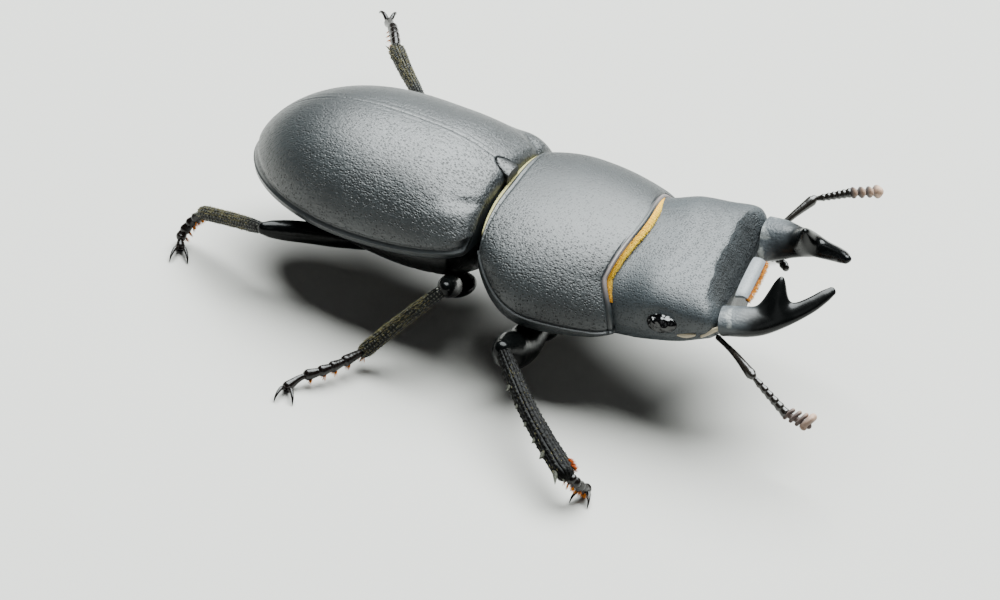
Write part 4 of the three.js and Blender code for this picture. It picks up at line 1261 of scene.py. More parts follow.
def feeler_cups(side_name, first, ahead, length):
    cups, rings = [], []
    u = np.linspace(0, 1, 16)
    for k in range(CUPS):
        at = first + ahead * length * k / CUPS
        to = first + ahead * length * (k + CUP_SHARE) / CUPS
        size = (0.11 + 0.01 * k) + 0.05 * u ** 1.5
        cups.append(capped(tube(at + (to - at) * u[:, None], size, size)))
        ring = to + ahead * np.array([[-0.02], [0.05]])
        rings.append(capped(tube(ring, 0.1, 0.1, around=20)))
    for parts, kind, finish, nodes, slot in (
        (cups, "cups", feeler_chitin, [f"antenna_{side_name}_funicle"], "feeler_chitin"),
        (rings, "joints", joint_skin, [], "feeler_club"),
    ):
        points, faces = merged(parts)
        make_piece(
            f"feeler_{side_name}_{kind}", points, turn_out(points, faces), HEAD, finish, nodes,
        )


print("cups in a feeler:", CUPS)

# %% [markdown]
# ## Club of a feeler
# Four flat leaves on one stem, the last one thicker. They are velvety and paler toward the
# edge. The whole club is one piece, because the leaves share one finish.

# %% Club of a feeler
LEAVES = 4


def feeler_club(side_name, club, tip, ahead):
    leaf_side = unit([0.35, -0.75 if side_name == "left" else 0.75, 0.55])
    leaves, edges = [], []
    u = np.linspace(0, 1, 24)
    for k in range(LEAVES):
        last = k == LEAVES - 1
        foot = club + (tip - club) * (0.06 + 0.26 * k)
        end = foot + leaf_side * (0.3 + 0.05 * k) + ahead * 0.14
        path = smooth_path([foot - leaf_side * 0.16, foot + leaf_side * 0.1 + ahead * 0.05, end], 24)
        wide = (0.25 + 0.04 * last) * np.sqrt(np.clip(1 - (2 * u - 1.1) ** 2 * 0.7, 0.1, 1))
        leaf, leaf_faces = capped(tube(path, np.full(24, 0.09 + 0.07 * last), wide, ahead, 28))
        leaves.append((leaf, leaf_faces))
        reach = (leaf - foot) @ leaf_side / 0.45
        edges.append(np.clip(reach * 1.6 - 0.75, 0, 1) * 0.8 + 0.35 * last)
    stem = capped(tube(smooth_path([club, (club + tip) / 2, tip], 20), 0.13, 0.13, around=20))
    points, faces = merged([stem] + leaves)
    make_piece(
        f"feeler_{side_name}_club", points, turn_out(points, faces), HEAD, club_chitin,
        [f"antenna_{side_name}_club"],
        {"pale": np.concatenate([np.zeros(len(stem[0]))] + edges)},
    )


for side_name in FEELERS:
    start, elbow, club, tip = (np.array(p) for p in FEELERS[side_name])
    feeler_scape(side_name, start, elbow)
    ahead = unit(club - elbow)
    first = elbow + ahead * 0.2
    feeler_cups(side_name, first, ahead, np.linalg.norm(club - first))
    feeler_club(side_name, club, tip, ahead)

# %% [markdown]
# ## Soft skin of the cheeks
# Pale skin shows where the feeler and the jaw are hinged below the side of the head. Two
# thin strips that swell in the middle are enough at this size.

# %% Soft skin of the cheeks
CHEEK_SKIN = [
    [(2.75, 4.02, 0.26), (3.1, 4.08, 0.34), (3.5, 4.07, 0.44)],
    [(3.72, 4.0, 0.34), (4.12, 3.88, 0.58), (4.5, 3.78, 0.78)],
]


def cheeks(side):
    strips = []
    for points_mm in CHEEK_SKIN:
        path = smooth_path([(x, side * y, z) for x, y, z in points_mm], 40)
        swell = 0.05 + 0.06 * np.sin(math.pi * np.linspace(0, 1, 40)) ** 0.7
        strips.append(capped(tube(path, swell, swell * 0.7, (0, 0, 1))))
    return merged(strips)


for side, side_name in SIDES:
    points, faces = cheeks(side)
    make_piece(
        f"cheek_skin_{side_name}", points, turn_out(points, faces), HEAD, joint_skin, [],
    )

# %% [markdown]
# ## Palps and chin
# The palps are short jointed feelers of the mouth. Their joints are three gentle swellings
# of one tube. The chin plate closes the head from below.

# %% Palps and chin
PALPS = {
    "left": (1, [(4.45, 3.05, -0.64), (4.75, 3.08, -0.62), (5.05, 2.86, -0.6), (5.32, 2.56, -0.64)]),
    "right": (-1, [(4.45, 1.6, -0.6), (4.9, 1.75, -0.66), (5.2, 1.65, -0.64), (5.4, 1.45, -0.6)]),
}
for side_name, (side, path_points) in PALPS.items():
    path = smooth_path([(x, side * y, z) for x, y, z in path_points], 60)
    t = np.linspace(0, 1, 60)
    size = 0.13 + 0.035 * np.sin(3 * math.pi * t) ** 2 + 0.03 * t
    points, faces = capped(tube(path, size, size))
    make_piece(
        f"palp_{side_name}_joints", points, turn_out(points, faces), HEAD, feeler_chitin,
        [f"palp_{side_name}"],
    )

def chin():
    x = np.linspace(2.0, 4.2, 30)[:, None]
    a = np.linspace(0, 2 * math.pi, 64, endpoint=False)[None, :]
    half = 1.5 * (1 - 0.12 * ((x - 3.1) / 1.1) ** 4)
    y = half * power(np.cos(a), 0.5)
    z = -1.12 + 0.32 * power(np.sin(a), 0.5) + 0 * x
    z = np.where(np.sin(a) > 0, z + 0.2, z + 0.03 * np.cos(y))
    return capped(np.stack([np.broadcast_to(x, y.shape), y, z], -1))


chin_chitin = body_finish("chin_chitin", "#15181a", 0.45, 0.15, 0.02)
points, faces = chin()
make_piece(
    "chin_plate", points, turn_out(points, faces), HEAD, chin_chitin, ["mentum"],
)

# %% [markdown]
# ## Underside
# Breast plates and belly plates, each overlapping the next with a fine step. Both come from
# one function, which hangs a rounded net under the side rims of the wing cases. The chitin
# is glossy black with a fine grain.

# %% Underside
PLATE_STEP = 0.07
STEP_LENGTH = 0.3


def belly_net(front, rear, rows, depth_table, shrink_table, steps):
    x = np.linspace(front, rear, rows)
    s = np.clip((-x - GAP) / WING_LENGTH, 0, 1)
    share = np.linspace(0, 1, rows)
    half = (np.maximum(wing_half(s) - 0.3, 0.2) * curve_through(shrink_table, share))[:, None]
    top = (wing_rim(s) - WING_EDGE - 0.02)[:, None]
    depth = curve_through(depth_table, x)[:, None]
    angle = np.linspace(0, math.pi, 120)[None, :]
    drop = np.sin(angle) ** 1.15
    ripple = 0.0
    for at in steps:
        behind = (at - x) / STEP_LENGTH
        ripple = ripple + PLATE_STEP * (np.clip(1 - behind, 0, 1) * (behind >= 0))[:, None]
    y = half * np.cos(angle)
    z = top - 0.12 - (top - 0.12 + depth) * drop + ripple * drop
    lower = np.stack([np.broadcast_to(x[:, None], y.shape), y, z], -1)
    lid = np.stack([
        np.broadcast_to(x[:, None], (rows, 2)),
        np.concatenate([-half * 0.9, half * 0.9], 1),
        np.concatenate([top, top], 1),
    ], -1)
    return capped(np.concatenate([lower, lid], 1))


belly_chitin = body_finish("belly_chitin", "#060707", 0.32, 0.2, 0.03, Specular_IOR_Level=0.25)
points, faces = belly_net(
    -0.1, -5.3, 160, [(-5.3, 2.15), (-3.2, 2.3), (-1.5, 2.1), (-0.1, 1.5)],
    [(0, 0.82), (0.12, 0.94), (0.35, 0.92), (1, 0.86)], [-1.5, -2.3],
)
make_piece(
    "breast_plates", points, turn_out(points, faces), BODY, belly_chitin,
    ["thorax_underside"],
)
points, faces = belly_net(
    -5.36, -11.15, 260, [(-11.15, 0.75), (-10.2, 1.4), (-8.6, 1.95), (-5.36, 2.15)],
    [(0, 0.86), (0.8, 0.86), (1, 0.8)], [-6.5, -7.6, -8.6, -9.5, -10.3],
)
make_piece(
    "belly_plates", points, turn_out(points, faces), BODY, belly_chitin, ["abdomen"],
)

# %% [markdown]
# ## Legs
# Every leg has a hip, a thigh, a shin with spines, a foot of five joints and two claws. The
# front shin is broad and toothed along its outer edge. All legs come from the same
# functions, with the same widths on both sides. Their lengths follow from the points in
# this table, and these aren't equal: the front right shin is 2.5 mm longer than the left.
# In a real beetle both are the same length.

# %% Leg places
# Hip, knee, end of the shin, points of the foot, and which way the claws point.
LEGS = {
    "front_right": (
        (3.2, -2.0, -2.4), (3.26, -6.39, -1.25), (8.4, -10.5, -2.75),
        [(8.84, -10.38, -3.05), (8.98, -9.75, -3.68), (8.95, -9.25, -4.0)], (0.15, -1),
    ),
    "mid_right": (
        (-0.85, -2.1, -2.2), (0.08, -5.57, 0.0), (-2.38, -7.14, -3.3),
        [(-2.83, -8.46, -3.42), (-3.21, -9.2, -3.52), (-3.8, -9.85, -3.74), (-4.1, -10.45, -4.0)],
        (0.35, -0.94),
    ),
    "hind_right": (
        (-4.7, -1.5, -1.95), (-8.5, -5.25, -0.8), (-12.1, -3.6, -2.35),
        [(-12.65, -3.55, -3.1), (-12.9, -3.85, -3.74), (-12.72, -4.2, -4.0)], (0.45, -0.9),
    ),
    "front_left": (
        (3.2, 2.0, -2.3), (3.6, 6.1, -1.0), (6.3, 8.7, -3.0),
        [(6.7, 9.3, -3.7), (7.1, 10.1, -3.86), (7.5, 10.9, -4.0)], (0.5, 0.86),
    ),
    "mid_left": (
        (-0.85, 2.1, -2.2), (-0.7, 5.9, -0.4), (-1.9, 8.4, -3.25),
        [(-2.2, 9.1, -3.7), (-2.6, 9.9, -3.8), (-3.1, 10.7, -4.0)], (-0.5, 0.85),
    ),
    "hind_left": (
        (-4.7, 1.5, -1.95), (-7.5, 6.7, 0.2), (-10.3, 9.8, 0.1),
        [(-10.9, 10.8, 0.05), (-11.5, 11.8, -0.2), (-12.2, 12.9, -0.7)], (-0.5, 0.85),
    ),
}
UP = np.array([0.0, 0.0, 1.0])
LEG_SEED = {name: 60 + number for number, name in enumerate(LEGS)}
KNEE_GAP = 0.285  # from the knee's centre to the start of the shin

# Half widths of a thigh at five places; then of a shin at its end and start, its half
# depth, and how far it bows outward.
FRONT_THIGH, OTHER_THIGH = (0.65, 0.84, 0.81, 0.54, 0.4), (0.36, 0.48, 0.46, 0.38, 0.28)
FRONT_SHIN, OTHER_SHIN = (0.47, 0.31, 0.33, 0.18), (0.37, 0.23, 0.29, 0.05)


def is_front(name):
    return name.startswith("front")


def shin_line(name):
    """Start and end of a shin, the way along it, the way to its outer edge, and its sizes."""
    knee, ankle = np.array(LEGS[name][1]), np.array(LEGS[name][2])
    along = unit(ankle - knee)
    outer = unit(np.cross(along, UP)) * (-1 if name.endswith("left") else 1)
    return knee + along * KNEE_GAP, ankle, along, outer, FRONT_SHIN if is_front(name) else OTHER_SHIN


def foot_path(name):
    ankle, foot_points = np.array(LEGS[name][2]), LEGS[name][3]
    foot_way = unit(np.array(foot_points[0]) - ankle)
    return smooth_path([ankle + foot_way * 0.1] + foot_points, 200)


def stand(points):
    """Feet end flat on the floor."""
    points = points.copy()
    points[:, 2] = np.maximum(points[:, 2], -STAND_HEIGHT)
    return points


def leg_piece(part, name, points, faces, finish, node, values=None):
    make_piece(
        f"{part}_{name}", points, turn_out(points, faces), BODY, finish,
        [f"leg_{name}_{node}"], values,
    )


for name in LEGS:
    start, ankle, *_ = shin_line(name)
    print(f"{name}: shin {np.linalg.norm(ankle - start):.2f} mm long")

# %% [markdown]
# ## Finishes of the legs
# Thighs and claws are polished black. Shins are roughened by rows of grains. Those of the
# front legs have a finish of their own, because they reflect less than the others.

# %% Finishes of the legs
leg_chitin = body_finish("leg_chitin", "#040505", 0.2, 0.3, 0.03, Specular_IOR_Level=0.12)
# The pale colour of the shins is a painted highlight on the tops of grains, teeth and spurs.
shin_chitin = body_finish(
    "shin_chitin", "#060606", 0.3, 0.08, 0.06, pale="#77786c", Specular_IOR_Level=0.13,
)
front_shin_chitin = body_finish(
    "front_shin_chitin", "#050505", 0.3, 0.08, 0.06, pale="#77786c", Specular_IOR_Level=0.05,
)
claw_chitin = body_finish("claw_chitin", "#0c0705", 0.25, 0.2, 0.03, Specular_IOR_Level=0.3)

# %% [markdown]
# ## Hips and thighs
# The hip is a flattened ball. It is shallower on the mid and hind legs, so that it doesn't
# bulge so far under the breast. The thigh is a tube that swells in the middle.

# %% Hips and thighs
HIP_HALF = (0.95, 0.72)
HIP_TOP = 0.58
LOW_HIP = 0.42


def hip(name):
    low = HIP_TOP if is_front(name) else LOW_HIP
    angle = 12 if is_front(name) else -14
    lie = 90 - angle if name.endswith("left") else -90 + angle
    points, faces = ball((0, 0, HIP_TOP - low), *HIP_HALF, low)
    points = points @ turn(0, 0, lie)[:3, :3].T + np.array(LEGS[name][0])
    leg_piece("hip", name, points, faces, leg_chitin, "coxa")


def thigh(name):
    hip_at, knee = np.array(LEGS[name][0]), np.array(LEGS[name][1])
    start = hip_at + unit(knee - hip_at) * 0.8
    bow = (start + knee) / 2 + UP * (-0.45 if is_front(name) else 0.08)
    path = smooth_path([start, bow, knee], 90)
    thick = FRONT_THIGH if is_front(name) else OTHER_THIGH
    size = curve_through(list(zip((0, 0.38, 0.72, 0.92, 1), thick)), np.linspace(0, 1, 90))
    points, faces = capped(tube(path, size, size * 0.9, UP, 48))
    leg_piece("thigh", name, points, faces, leg_chitin, "femur")


print(f"front hips are {2 * HIP_TOP:.2f} mm deep, the others {2 * LOW_HIP:.2f} mm")

# %% [markdown]
# ## Grains of a shin
# Keels run along the shin with a row of small grains between each two, with a painted
# highlight on top. Real shape is used here and not relief in the finish, because the grains
# show in the outline.

# %% Grains of a shin
SHIN_ROWS = 12
KEEL_GROOVE = 0.025
# Length and height of a grain, and the strength of the painted highlight on its top.
FRONT_GRAIN, OTHER_GRAIN = (0.27, 0.055, 0.1), (0.17, 0.03, 1.0)


def grained(rings, seed, front):
    """Keels along a shin and rows of grains between them; also the painted highlight on each point."""
    rng = np.random.default_rng(seed)
    grain_mm, relief, highlight_paint = FRONT_GRAIN if front else OTHER_GRAIN
    middle = rings.mean(axis=1, keepdims=True)
    steps = np.linalg.norm(np.diff(middle[:, 0], axis=0), axis=1)
    run = np.concatenate([[0], np.cumsum(steps)])[:, None]
    a = np.linspace(0, 2 * math.pi, rings.shape[1], endpoint=False)[None, :]
    row = np.floor(a / (2 * math.pi) * SHIN_ROWS).astype(int)
    start, pace = rng.uniform(0, 1, SHIN_ROWS), rng.uniform(0.85, 1.2, SHIN_ROWS)
    phase = run / (grain_mm * pace[row]) + start[row]
    wave = np.sin(2 * math.pi * phase + 1.5 * np.sin(3 * run + row))
    ridge = np.abs(np.sin(a * SHIN_ROWS / 2))
    grain = np.clip(wave, 0, 1) ** 1.5 * ridge ** 2
    whim = rng.uniform(0.2, 1, (int(run[-1, 0] / grain_mm) + 2, SHIN_ROWS))
    bright = whim[(run / grain_mm).astype(int), row]
    height = relief * grain * bright - KEEL_GROOVE * (1 - ridge) ** 2
    return rings + unit(rings - middle) * height[..., None], with_caps(grain ** 2 * bright * highlight_paint)


print("rows of grains round a shin:", SHIN_ROWS)

# %% [markdown]
# ## Shins
# A front shin has five broad teeth on its outer edge and two spurs at its end. The
# others carry three thin spines and three spurs. Teeth are set on the finished tube, rooted
# a little below its surface.

# %% Shins
TEETH_AT = {True: (0.25, 0.4, 0.55, 0.69, 0.82), False: (0.3, 0.55, 0.75)}
SPURS_AT = {True: (1.0, 0.35), False: (0.75, -0.75, 0.2)}
# Reach outward, reach along and radius of a tooth; the same of a spur.
TOOTH_SIZE = {True: (0.36, 0.24, 0.19), False: (0.2, 0.25, 0.06)}
SPUR_SIZE = {True: (0.28, 0.6, 0.14), False: (0.28, 0.5, 0.07)}


def shin(name):
    start, ankle, along, outer, (end, narrow, deep, bow_out) = shin_line(name)
    front = is_front(name)
    bow = (start + ankle) / 2 + outer * bow_out
    path = smooth_path([start - along * 0.25, start, bow, ankle], 260)
    t = np.clip(np.linspace(-0.33, 1, 260), 0, 1)
    most = narrow + 0.75 * (end - narrow)
    widths = [(0, narrow * 0.85), (0.1, narrow), (0.7, most), (0.95, end), (1, end * 0.8)]
    wide = curve_through(widths, t)
    net = tube(path, wide, np.minimum(deep, wide * 1.1), outer, 72)
    shaft, grain_highlights = grained(net, LEG_SEED[name], front)
    parts = [capped(shaft)]
    out, ahead, radius = TOOTH_SIZE[front]
    for share in TEETH_AT[front]:
        seat = start + (ankle - start) * share + outer * np.interp(share, t, wide) * 0.85
        parts.append(thorn(seat, seat + outer * out + along * ahead, radius))
    out, ahead, radius = SPUR_SIZE[front]
    for share in SPURS_AT[front]:
        seat = ankle - along * 0.15 + outer * end * share * 0.75
        parts.append(thorn(seat, seat + outer * share * out + along * ahead, radius))
    points, faces = merged(parts)
    # Teeth and spurs carry a painted highlight of 0.3, the shaft that of its grains.
    pale = np.full(len(points), 0.3)
    pale[:len(parts[0][0])] = grain_highlights
    finish = front_shin_chitin if front else shin_chitin
    leg_piece("shin", name, points, faces, finish, "tibia", {"pale": pale})


print("teeth on a front shin:", len(TEETH_AT[True]), "and on the others:", len(TEETH_AT[False]))

# %% [markdown]
# ## Feet and claws
# Five joints, each a cup that widens toward its end, and the last as long as two. Two
# curved claws stand at its tip. Whatever would reach below the floor is pressed flat on it,
# so that the foot truly stands.

# %% Feet and claws
FOOT_JOINTS = (0, 0.19, 0.35, 0.51, 0.67, 1)
# Reach ahead, aside and up of the points of one claw.
CLAW_PATH = ((0, 0.05, 0), (0.3, 0.2, 0.16), (0.7, 0.34, 0.05), (0.9, 0.38, -0.16))


def foot(name):
    path = foot_path(name)
    parts = []
    for k in range(5):
        first, last = FOOT_JOINTS[k], FOOT_JOINTS[k + 1]
        piece = path[int(first * 199):int((first + (last - first) * 0.97) * 199) + 1]
        u = np.linspace(0, 1, len(piece))
        size = 0.14 + 0.11 * u ** 0.8 if k < 4 else 0.12 + 0.12 * u ** 1.5
        parts.append(capped(tube(piece, size, size * 0.9, UP, 24)))
    points, faces = merged(parts)
    leg_piece("foot", name, stand(points), faces, claw_chitin, "tarsus")


def claws(name):
    claw_way = LEGS[name][4]
    end_way = unit([claw_way[0], claw_way[1], 0])
    aside = np.array([-end_way[1], end_way[0], 0])
    root = foot_path(name)[-1] + end_way * 0.12
    size = 0.1 * (1 - np.linspace(0, 1, 40) ** 1.3) + 0.012
    parts = []
    for sign in (1, -1):
        hook = [root + end_way * x + aside * sign * y + UP * z for x, y, z in CLAW_PATH]
        parts.append(capped(tube(smooth_path(hook, 40), size, size, UP, 20)))
    points, faces = merged(parts)
    leg_piece("claws", name, stand(points), faces, claw_chitin, "claws")


for name in LEGS:
    for make in (hip, thigh, shin, foot, claws):
        make(name)

# %% [markdown]
# ## Hair
# Short golden hair fills the joint between pronotum and head, edges the upper lip and pads
# the feet. Each hair is a thin three-sided spike, bent a little, and every hair carries its
# own tone. The hairs of one fringe are one mesh. Its texture map gives each hair one small
# patch at the place of its root.

# %% Hair
HAIR_RINGS = (0.0, 0.4, 0.75)  # share of the way to the tip
HAIR_POINTS = 10  # three for each ring and one for the tip


def hair_mesh(roots, ways, bends, lengths, radius):
    """Points and faces of many hairs, and each point's share of the way to its tip."""
    count = len(roots)
    ways, bends = unit(ways), np.asarray(bends, float)
    lengths = np.broadcast_to(lengths, count)[:, None]
    side = unit(np.cross(ways, np.array([0.31, 0.47, 0.83])))
    other = np.cross(ways, side)
    rings = []
    for t in HAIR_RINGS:
        middle = roots + ways * lengths * t + bends * lengths * t * t
        size = radius * (1 - 0.75 * t)
        for k in range(3):
            a = 2 * math.pi * k / 3
            rings.append(middle + (side * math.cos(a) + other * math.sin(a)) * size)
    rings.append(roots + ways * lengths + bends * lengths)
    points = np.stack(rings, 1).reshape(-1, 3)
    one = [[2, 1, 0, -1]]
    for row in (0, 3):
        for k in range(3):
            n = (k + 1) % 3
            one.append([row + k, row + n, row + n + 3, row + k + 3])
    for k in range(3):
        one.append([6 + k, 6 + (k + 1) % 3, 9, -1])
    one = np.array(one)
    shift_by = (np.arange(count) * HAIR_POINTS)[:, None, None]
    faces = np.where(one[None] < 0, -1, one[None] + shift_by).reshape(-1, 4)
    share = np.tile(np.append(np.repeat(HAIR_RINGS, 3), 1.0), count)
    return points, faces, share


def hair_piece(name, roots, ways, bends, lengths, radius, tones, root_uv, body_frame, material):
    points, faces, share = hair_mesh(roots, ways, bends, lengths, radius)
    values = {"tone": np.repeat(tones, HAIR_POINTS), "share": share}
    piece = make_piece(name, points, faces, body_frame, material, [], values, crease=0)
    mesh = piece.data
    layer = mesh.uv_layers.new(name="OFBake")
    patch = np.array([(0, 0), (1, 0), (0.5, 0.4)] * 3 + [(0.5, 1)], float)
    patch[3:6, 1] += 0.3
    patch[6:9, 1] += 0.6
    spread = np.clip(root_uv, 0, 1)[:, None] * 0.99 + patch[None] * np.array([0.003, 0.003])
    spread = spread.reshape(-1, 2)
    loops = np.zeros(len(mesh.loops), np.int32)
    mesh.loops.foreach_get("vertex_index", loops)
    layer.data.foreach_set("uv", spread[loops].astype(np.float32).ravel())
    return piece


print("points in one hair:", HAIR_POINTS)

# %% [markdown]
# ## Hair finishes
# A beetle's hair is chitin too, here golden to brown. Its colour runs from root to tip, and
# hairs of a low tone are darker, so that a fringe doesn't look like a painted band. It is
# solid and not see-through, which is simpler and enough at this size.

# %% Hair finishes
def hair_finish(name, root_colour, tip_colour, dark_colour):
    material, tree, shader = new_finish(name, tip_colour, 0.6, Specular_IOR_Level=0.12)
    length_tone = blend(
        tree, net_value(tree, "share").outputs["Fac"], linear(root_colour), linear(tip_colour),
    )
    own_tone = blend(tree, net_value(tree, "tone").outputs["Fac"], linear(dark_colour), length_tone)
    tree.links.new(own_tone, shader.inputs["Base Color"])
    print(f"{name}: {root_colour} at the root, {tip_colour} at the tip")
    return material


gold_hair = hair_finish("golden_hair", "#dd9a1c", "#ffdc45", "#95520f")
orange_hair = hair_finish("orange_hair", "#b4590f", "#f0921c", "#7a3209")
tuft_hair = hair_finish("tuft_hair", "#8c2f08", "#e2701a", "#5c1c05")
lip_hair = hair_finish("lip_hair", "#8c3a10", "#f3b23c", "#a04a14")
pale_hair = hair_finish("pale_hair", "#a89f6c", "#e3dfa8", "#6d6746")
brown_hair = hair_finish("brown_hair", "#5d5636", "#aaa274", "#37301c")

# %% [markdown]
# ## Fringes of the prothorax
# The front fringe starts under the smooth front rim and lies on the head, brightest over
# the middle and browner at the sides. The hind fringe is shorter and paler. The hairs are
# probably thicker than in life, so that they show.

# %% Fringes of the prothorax
def edge_fringe(name, at_s, reach, rows, per_row, length, radius, forward, down, material, seed):
    rng = np.random.default_rng(seed)
    roots, ways, tones, places = [], [], [], []
    for row in range(rows):
        u = np.linspace(-reach, reach, per_row) + rng.uniform(-0.4, 0.4, per_row) * 2 * reach / per_row
        angle = math.pi / 2 - u
        spot = pronotum_top(np.full(per_row, at_s), angle)
        near = pronotum_top(np.full(per_row, at_s), angle + 0.01)
        along = unit(near - spot)
        inner = pronotum_top(np.full(per_row, at_s - 0.04 * forward), angle)
        ahead = unit(spot - inner)
        outward = unit(np.cross(along, ahead)) * -forward
        outward = np.where(outward[:, 2:3] < 0, -outward, outward)
        roots.append(spot - outward * (0.05 + 0.03 * row) - ahead * 0.04)
        wild = rng.normal(0, 0.09, (per_row, 1)) * along
        ways.append(ahead - outward * (down + 0.07 * row) + wild)
        share = np.abs(u) / reach
        tones.append(np.clip(1.05 - 0.75 * share ** 3 + rng.normal(0, 0.12, per_row), 0, 1))
        places.append(np.stack([(u + reach) / (2 * reach), np.full(per_row, (row + 0.5) / rows)], -1))
    roots, ways = np.concatenate(roots), np.concatenate(ways)
    lengths = length * rng.uniform(0.85, 1.1, len(roots))
    bends = np.tile([0.0, 0.0, -0.12], (len(roots), 1))
    return hair_piece(
        name, roots, ways, bends, lengths, radius, np.concatenate(tones), np.concatenate(places),
        PROTHORAX, material,
    )


edge_fringe(
    "fringe_front", at_s=0.995, reach=1.16, rows=6, per_row=800, length=0.37, radius=0.012,
    forward=1, down=0.1, material=gold_hair, seed=11,
)
edge_fringe(
    "fringe_hind", at_s=0.004, reach=1.1, rows=3, per_row=600, length=0.2, radius=0.011,
    forward=-1, down=0.25, material=pale_hair, seed=12,
)

# %% [markdown]
# ## Fringe of the upper lip
# Short orange hair stands along the front edge of the lip and leans a little outward.

# %% Fringe of the upper lip
def lip_fringe():
    rng = np.random.default_rng(21)
    count = 900
    v = rng.uniform(-1, 1, count)
    x = 4.84 * np.ones(count) - 0.05 * np.abs(v) ** 4
    y = v * 1.3
    z = 0.46 + rng.uniform(-0.1, 0.05, count)
    roots = np.stack([x, y, z], -1)
    ways = np.stack([
        np.ones(count), v * 0.35 + rng.normal(0, 0.1, count), -0.15 + rng.normal(0, 0.1, count),
    ], -1)
    bends = np.tile([0.0, 0.0, -0.15], (count, 1))
    places = np.stack([(v + 1) / 2, rng.uniform(0, 1, count)], -1)
    hair_piece(
        "fringe_lip", roots, ways, bends, 0.26 * rng.uniform(0.7, 1.1, count), 0.01,
        rng.uniform(0.3, 1, count), places, HEAD, lip_hair,
    )


lip_fringe()

# %% [markdown]
# ## Bristles of the legs
# Fine brown hairs lie along the shins, many on the mid and hind ones and few on the front
# ones. Their roots follow the same widths as the shin, a little inside its surface.

# %% Bristles of the legs
def shin_bristles(name, seed):
    start, ankle, along, outer, (end, narrow, deep, bow_out) = shin_line(name)
    front = is_front(name)
    rng = np.random.default_rng(seed)
    third = np.cross(along, outer)
    count = 260 if front else 1100
    t = rng.uniform(0.1, 0.98, count)
    a = rng.uniform(0, 2 * math.pi, count)
    wide = narrow + (end - narrow) * t
    bow = bow_out * 4 * t * (1 - t)
    sideways = outer * (wide * np.cos(a))[:, None]
    skin = sideways + third * (np.minimum(deep, wide * 1.1) * np.sin(a))[:, None]
    roots = start + (ankle - start) * t[:, None] + outer * bow[:, None] + skin * 0.95
    ways = along + unit(skin) * 0.45 + rng.normal(0, 0.12, (count, 3))
    length = (0.16 if front else 0.2) * rng.uniform(0.6, 1.2, count)
    hair_piece(
        f"bristles_shin_{name}", roots, ways, -unit(skin) * 0.2, length, 0.009,
        rng.uniform(0, 1, count), np.stack([t, a / (2 * math.pi)], -1), BODY, brown_hair,
    )


# %% [markdown]
# ## Pads of the feet
# Orange hairs stand in tufts under the ankle and the ends of the first four foot joints.
# Near the floor they are cut to the room that is left.

# %% Pads of the feet
PAD_HAIRS = 60


def foot_pads(name, seed):
    rng = np.random.default_rng(seed)
    path = foot_path(name)
    ahead = unit(np.gradient(path, axis=0))
    roots, ways, places = [], [], []
    for k, joint in enumerate((0.0, 0.16, 0.32, 0.48, 0.64)):
        at = int(joint * 199) + (2 if k == 0 else 0)
        spread = rng.uniform(-1, 1, (PAD_HAIRS, 1))
        aside = unit(np.cross(ahead[at], UP))
        under = unit(-UP + ahead[at] * (ahead[at] @ UP))
        roots.append(path[at] + under * 0.12 + aside * spread * 0.17)
        ways.append(under + ahead[at] * rng.uniform(0.4, 1.2, (PAD_HAIRS, 1)) + aside * spread * 0.9)
        places.append(np.stack([(spread[:, 0] + 1) / 2, np.full(PAD_HAIRS, (k + 0.5) / 5)], -1))
    roots, ways = np.concatenate(roots), np.concatenate(ways)
    count = len(roots)
    length = 0.32 * rng.uniform(0.6, 1.1, count)
    floor_gap = (roots[:, 2] + STAND_HEIGHT) / np.maximum(-unit(ways)[:, 2], 0.05)
    length = np.minimum(length, np.maximum(floor_gap, 0.03))
    hair_piece(
        f"pads_{name}", roots, ways, np.zeros((count, 3)), length, 0.015, rng.uniform(0.2, 1, count),
        np.concatenate(places), BODY, orange_hair,
    )


# %% [markdown]
# ## Tufts of the front shins
# A short red-brown tuft stands at the inner end of each front shin.

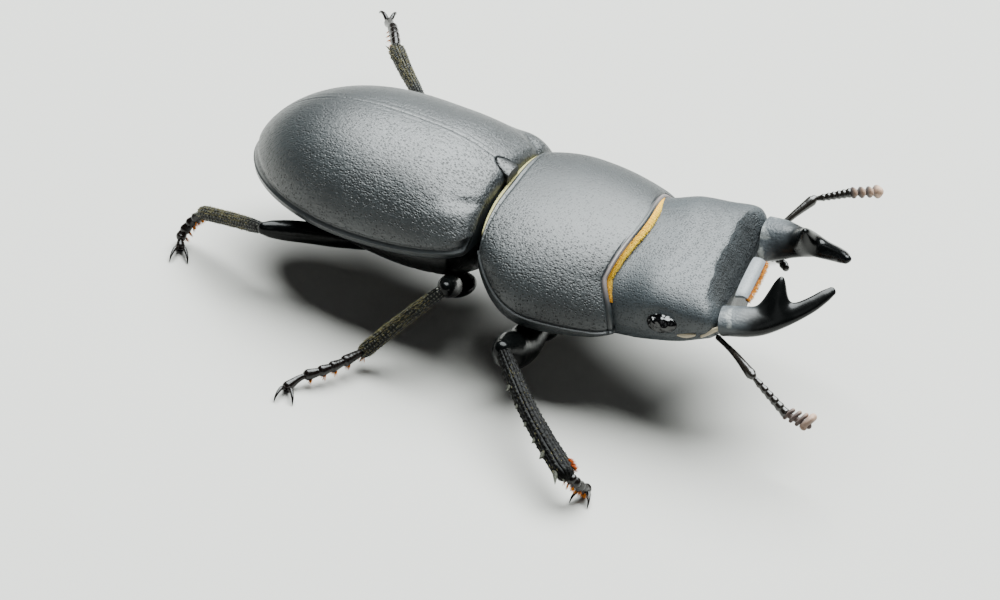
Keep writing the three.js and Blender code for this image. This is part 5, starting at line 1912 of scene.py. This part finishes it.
# %% Tufts of the front shins
def shin_tuft(name, seed):
    _, ankle, along, outer, _ = shin_line(name)
    rng = np.random.default_rng(seed)
    count = 260
    t, v = rng.uniform(-0.55, -0.05, count), rng.uniform(-1, 1, count)
    inward, upward = (0.33 - 0.06 * v ** 2)[:, None], (0.14 + 0.12 * v)[:, None]
    roots = ankle + along * t[:, None] - outer * inward + UP * upward
    ways = -outer * 0.9 + along * rng.uniform(0.5, 1.1, (count, 1)) + rng.normal(0, 0.2, (count, 3))
    hair_piece(
        f"tuft_{name}", roots, ways, np.zeros((count, 3)), 0.3 * rng.uniform(0.6, 1.1, count), 0.013,
        rng.uniform(0.1, 0.9, count), np.stack([-t / 0.6, (v + 1) / 2], -1), BODY, tuft_hair,
    )


for number, name in enumerate(LEGS):
    shin_bristles(name, 30 + number)
    foot_pads(name, 40 + number)
    if is_front(name):
        shin_tuft(name, 50 + number)

# %% [markdown]
# ## Studio
# A pale floor, one wide soft light from above on the far side, and one weak light from the
# near side. One small lamp would be simpler, but a wide light gives satin chitin its broad
# soft glow.

# %% Studio
FLOOR_METRES = 4
AIR_COLOUR, AIR_STRENGTH = (0.9, 0.93, 1, 1), 0.045
LIGHT_COLOUR = (0.94, 1.0, 1.0)
# Turn and rise in degrees, distance and width in metres, and watts.
LIGHTS = {"sky_panel": (100, 66, 0.5, 0.6, 17.0), "front_fill": (-60, 35, 0.6, 0.3, 0.16)}


def studio():
    bpy.ops.mesh.primitive_plane_add(size=FLOOR_METRES, location=(0, 0, 0))
    floor = bpy.context.object
    floor.name = "studio_floor"
    paper, _, _ = new_finish("backdrop_paper", "#b5b3ae", 0.8)
    floor.data.materials.append(paper)
    world = bpy.data.worlds.new("studio_air")
    bpy.context.scene.world = world
    world.use_nodes = True
    air = world.node_tree.nodes["Background"]
    air.inputs["Color"].default_value = AIR_COLOUR
    air.inputs["Strength"].default_value = AIR_STRENGTH
    for name, (turn_deg, rise, far, size, watts) in LIGHTS.items():
        data = bpy.data.lights.new(name, "AREA")
        data.shape = "DISK"
        data.size = size
        data.energy = watts
        data.color = LIGHT_COLOUR
        light = bpy.data.objects.new(name, data)
        a, e = math.radians(turn_deg), math.radians(rise)
        place = Vector((math.cos(a) * math.cos(e), math.sin(a) * math.cos(e), math.sin(e))) * far
        light.location = place
        light.rotation_euler = place.to_track_quat("Z", "Y").to_euler()
        bpy.context.collection.objects.link(light)
        print(f"{name}: {size} m wide, {watts} W")


studio()

# %% [markdown]
# ## Count of pieces
# The last cell counts the finished pieces.

# %% Count of pieces
print("pieces made:", len(made))
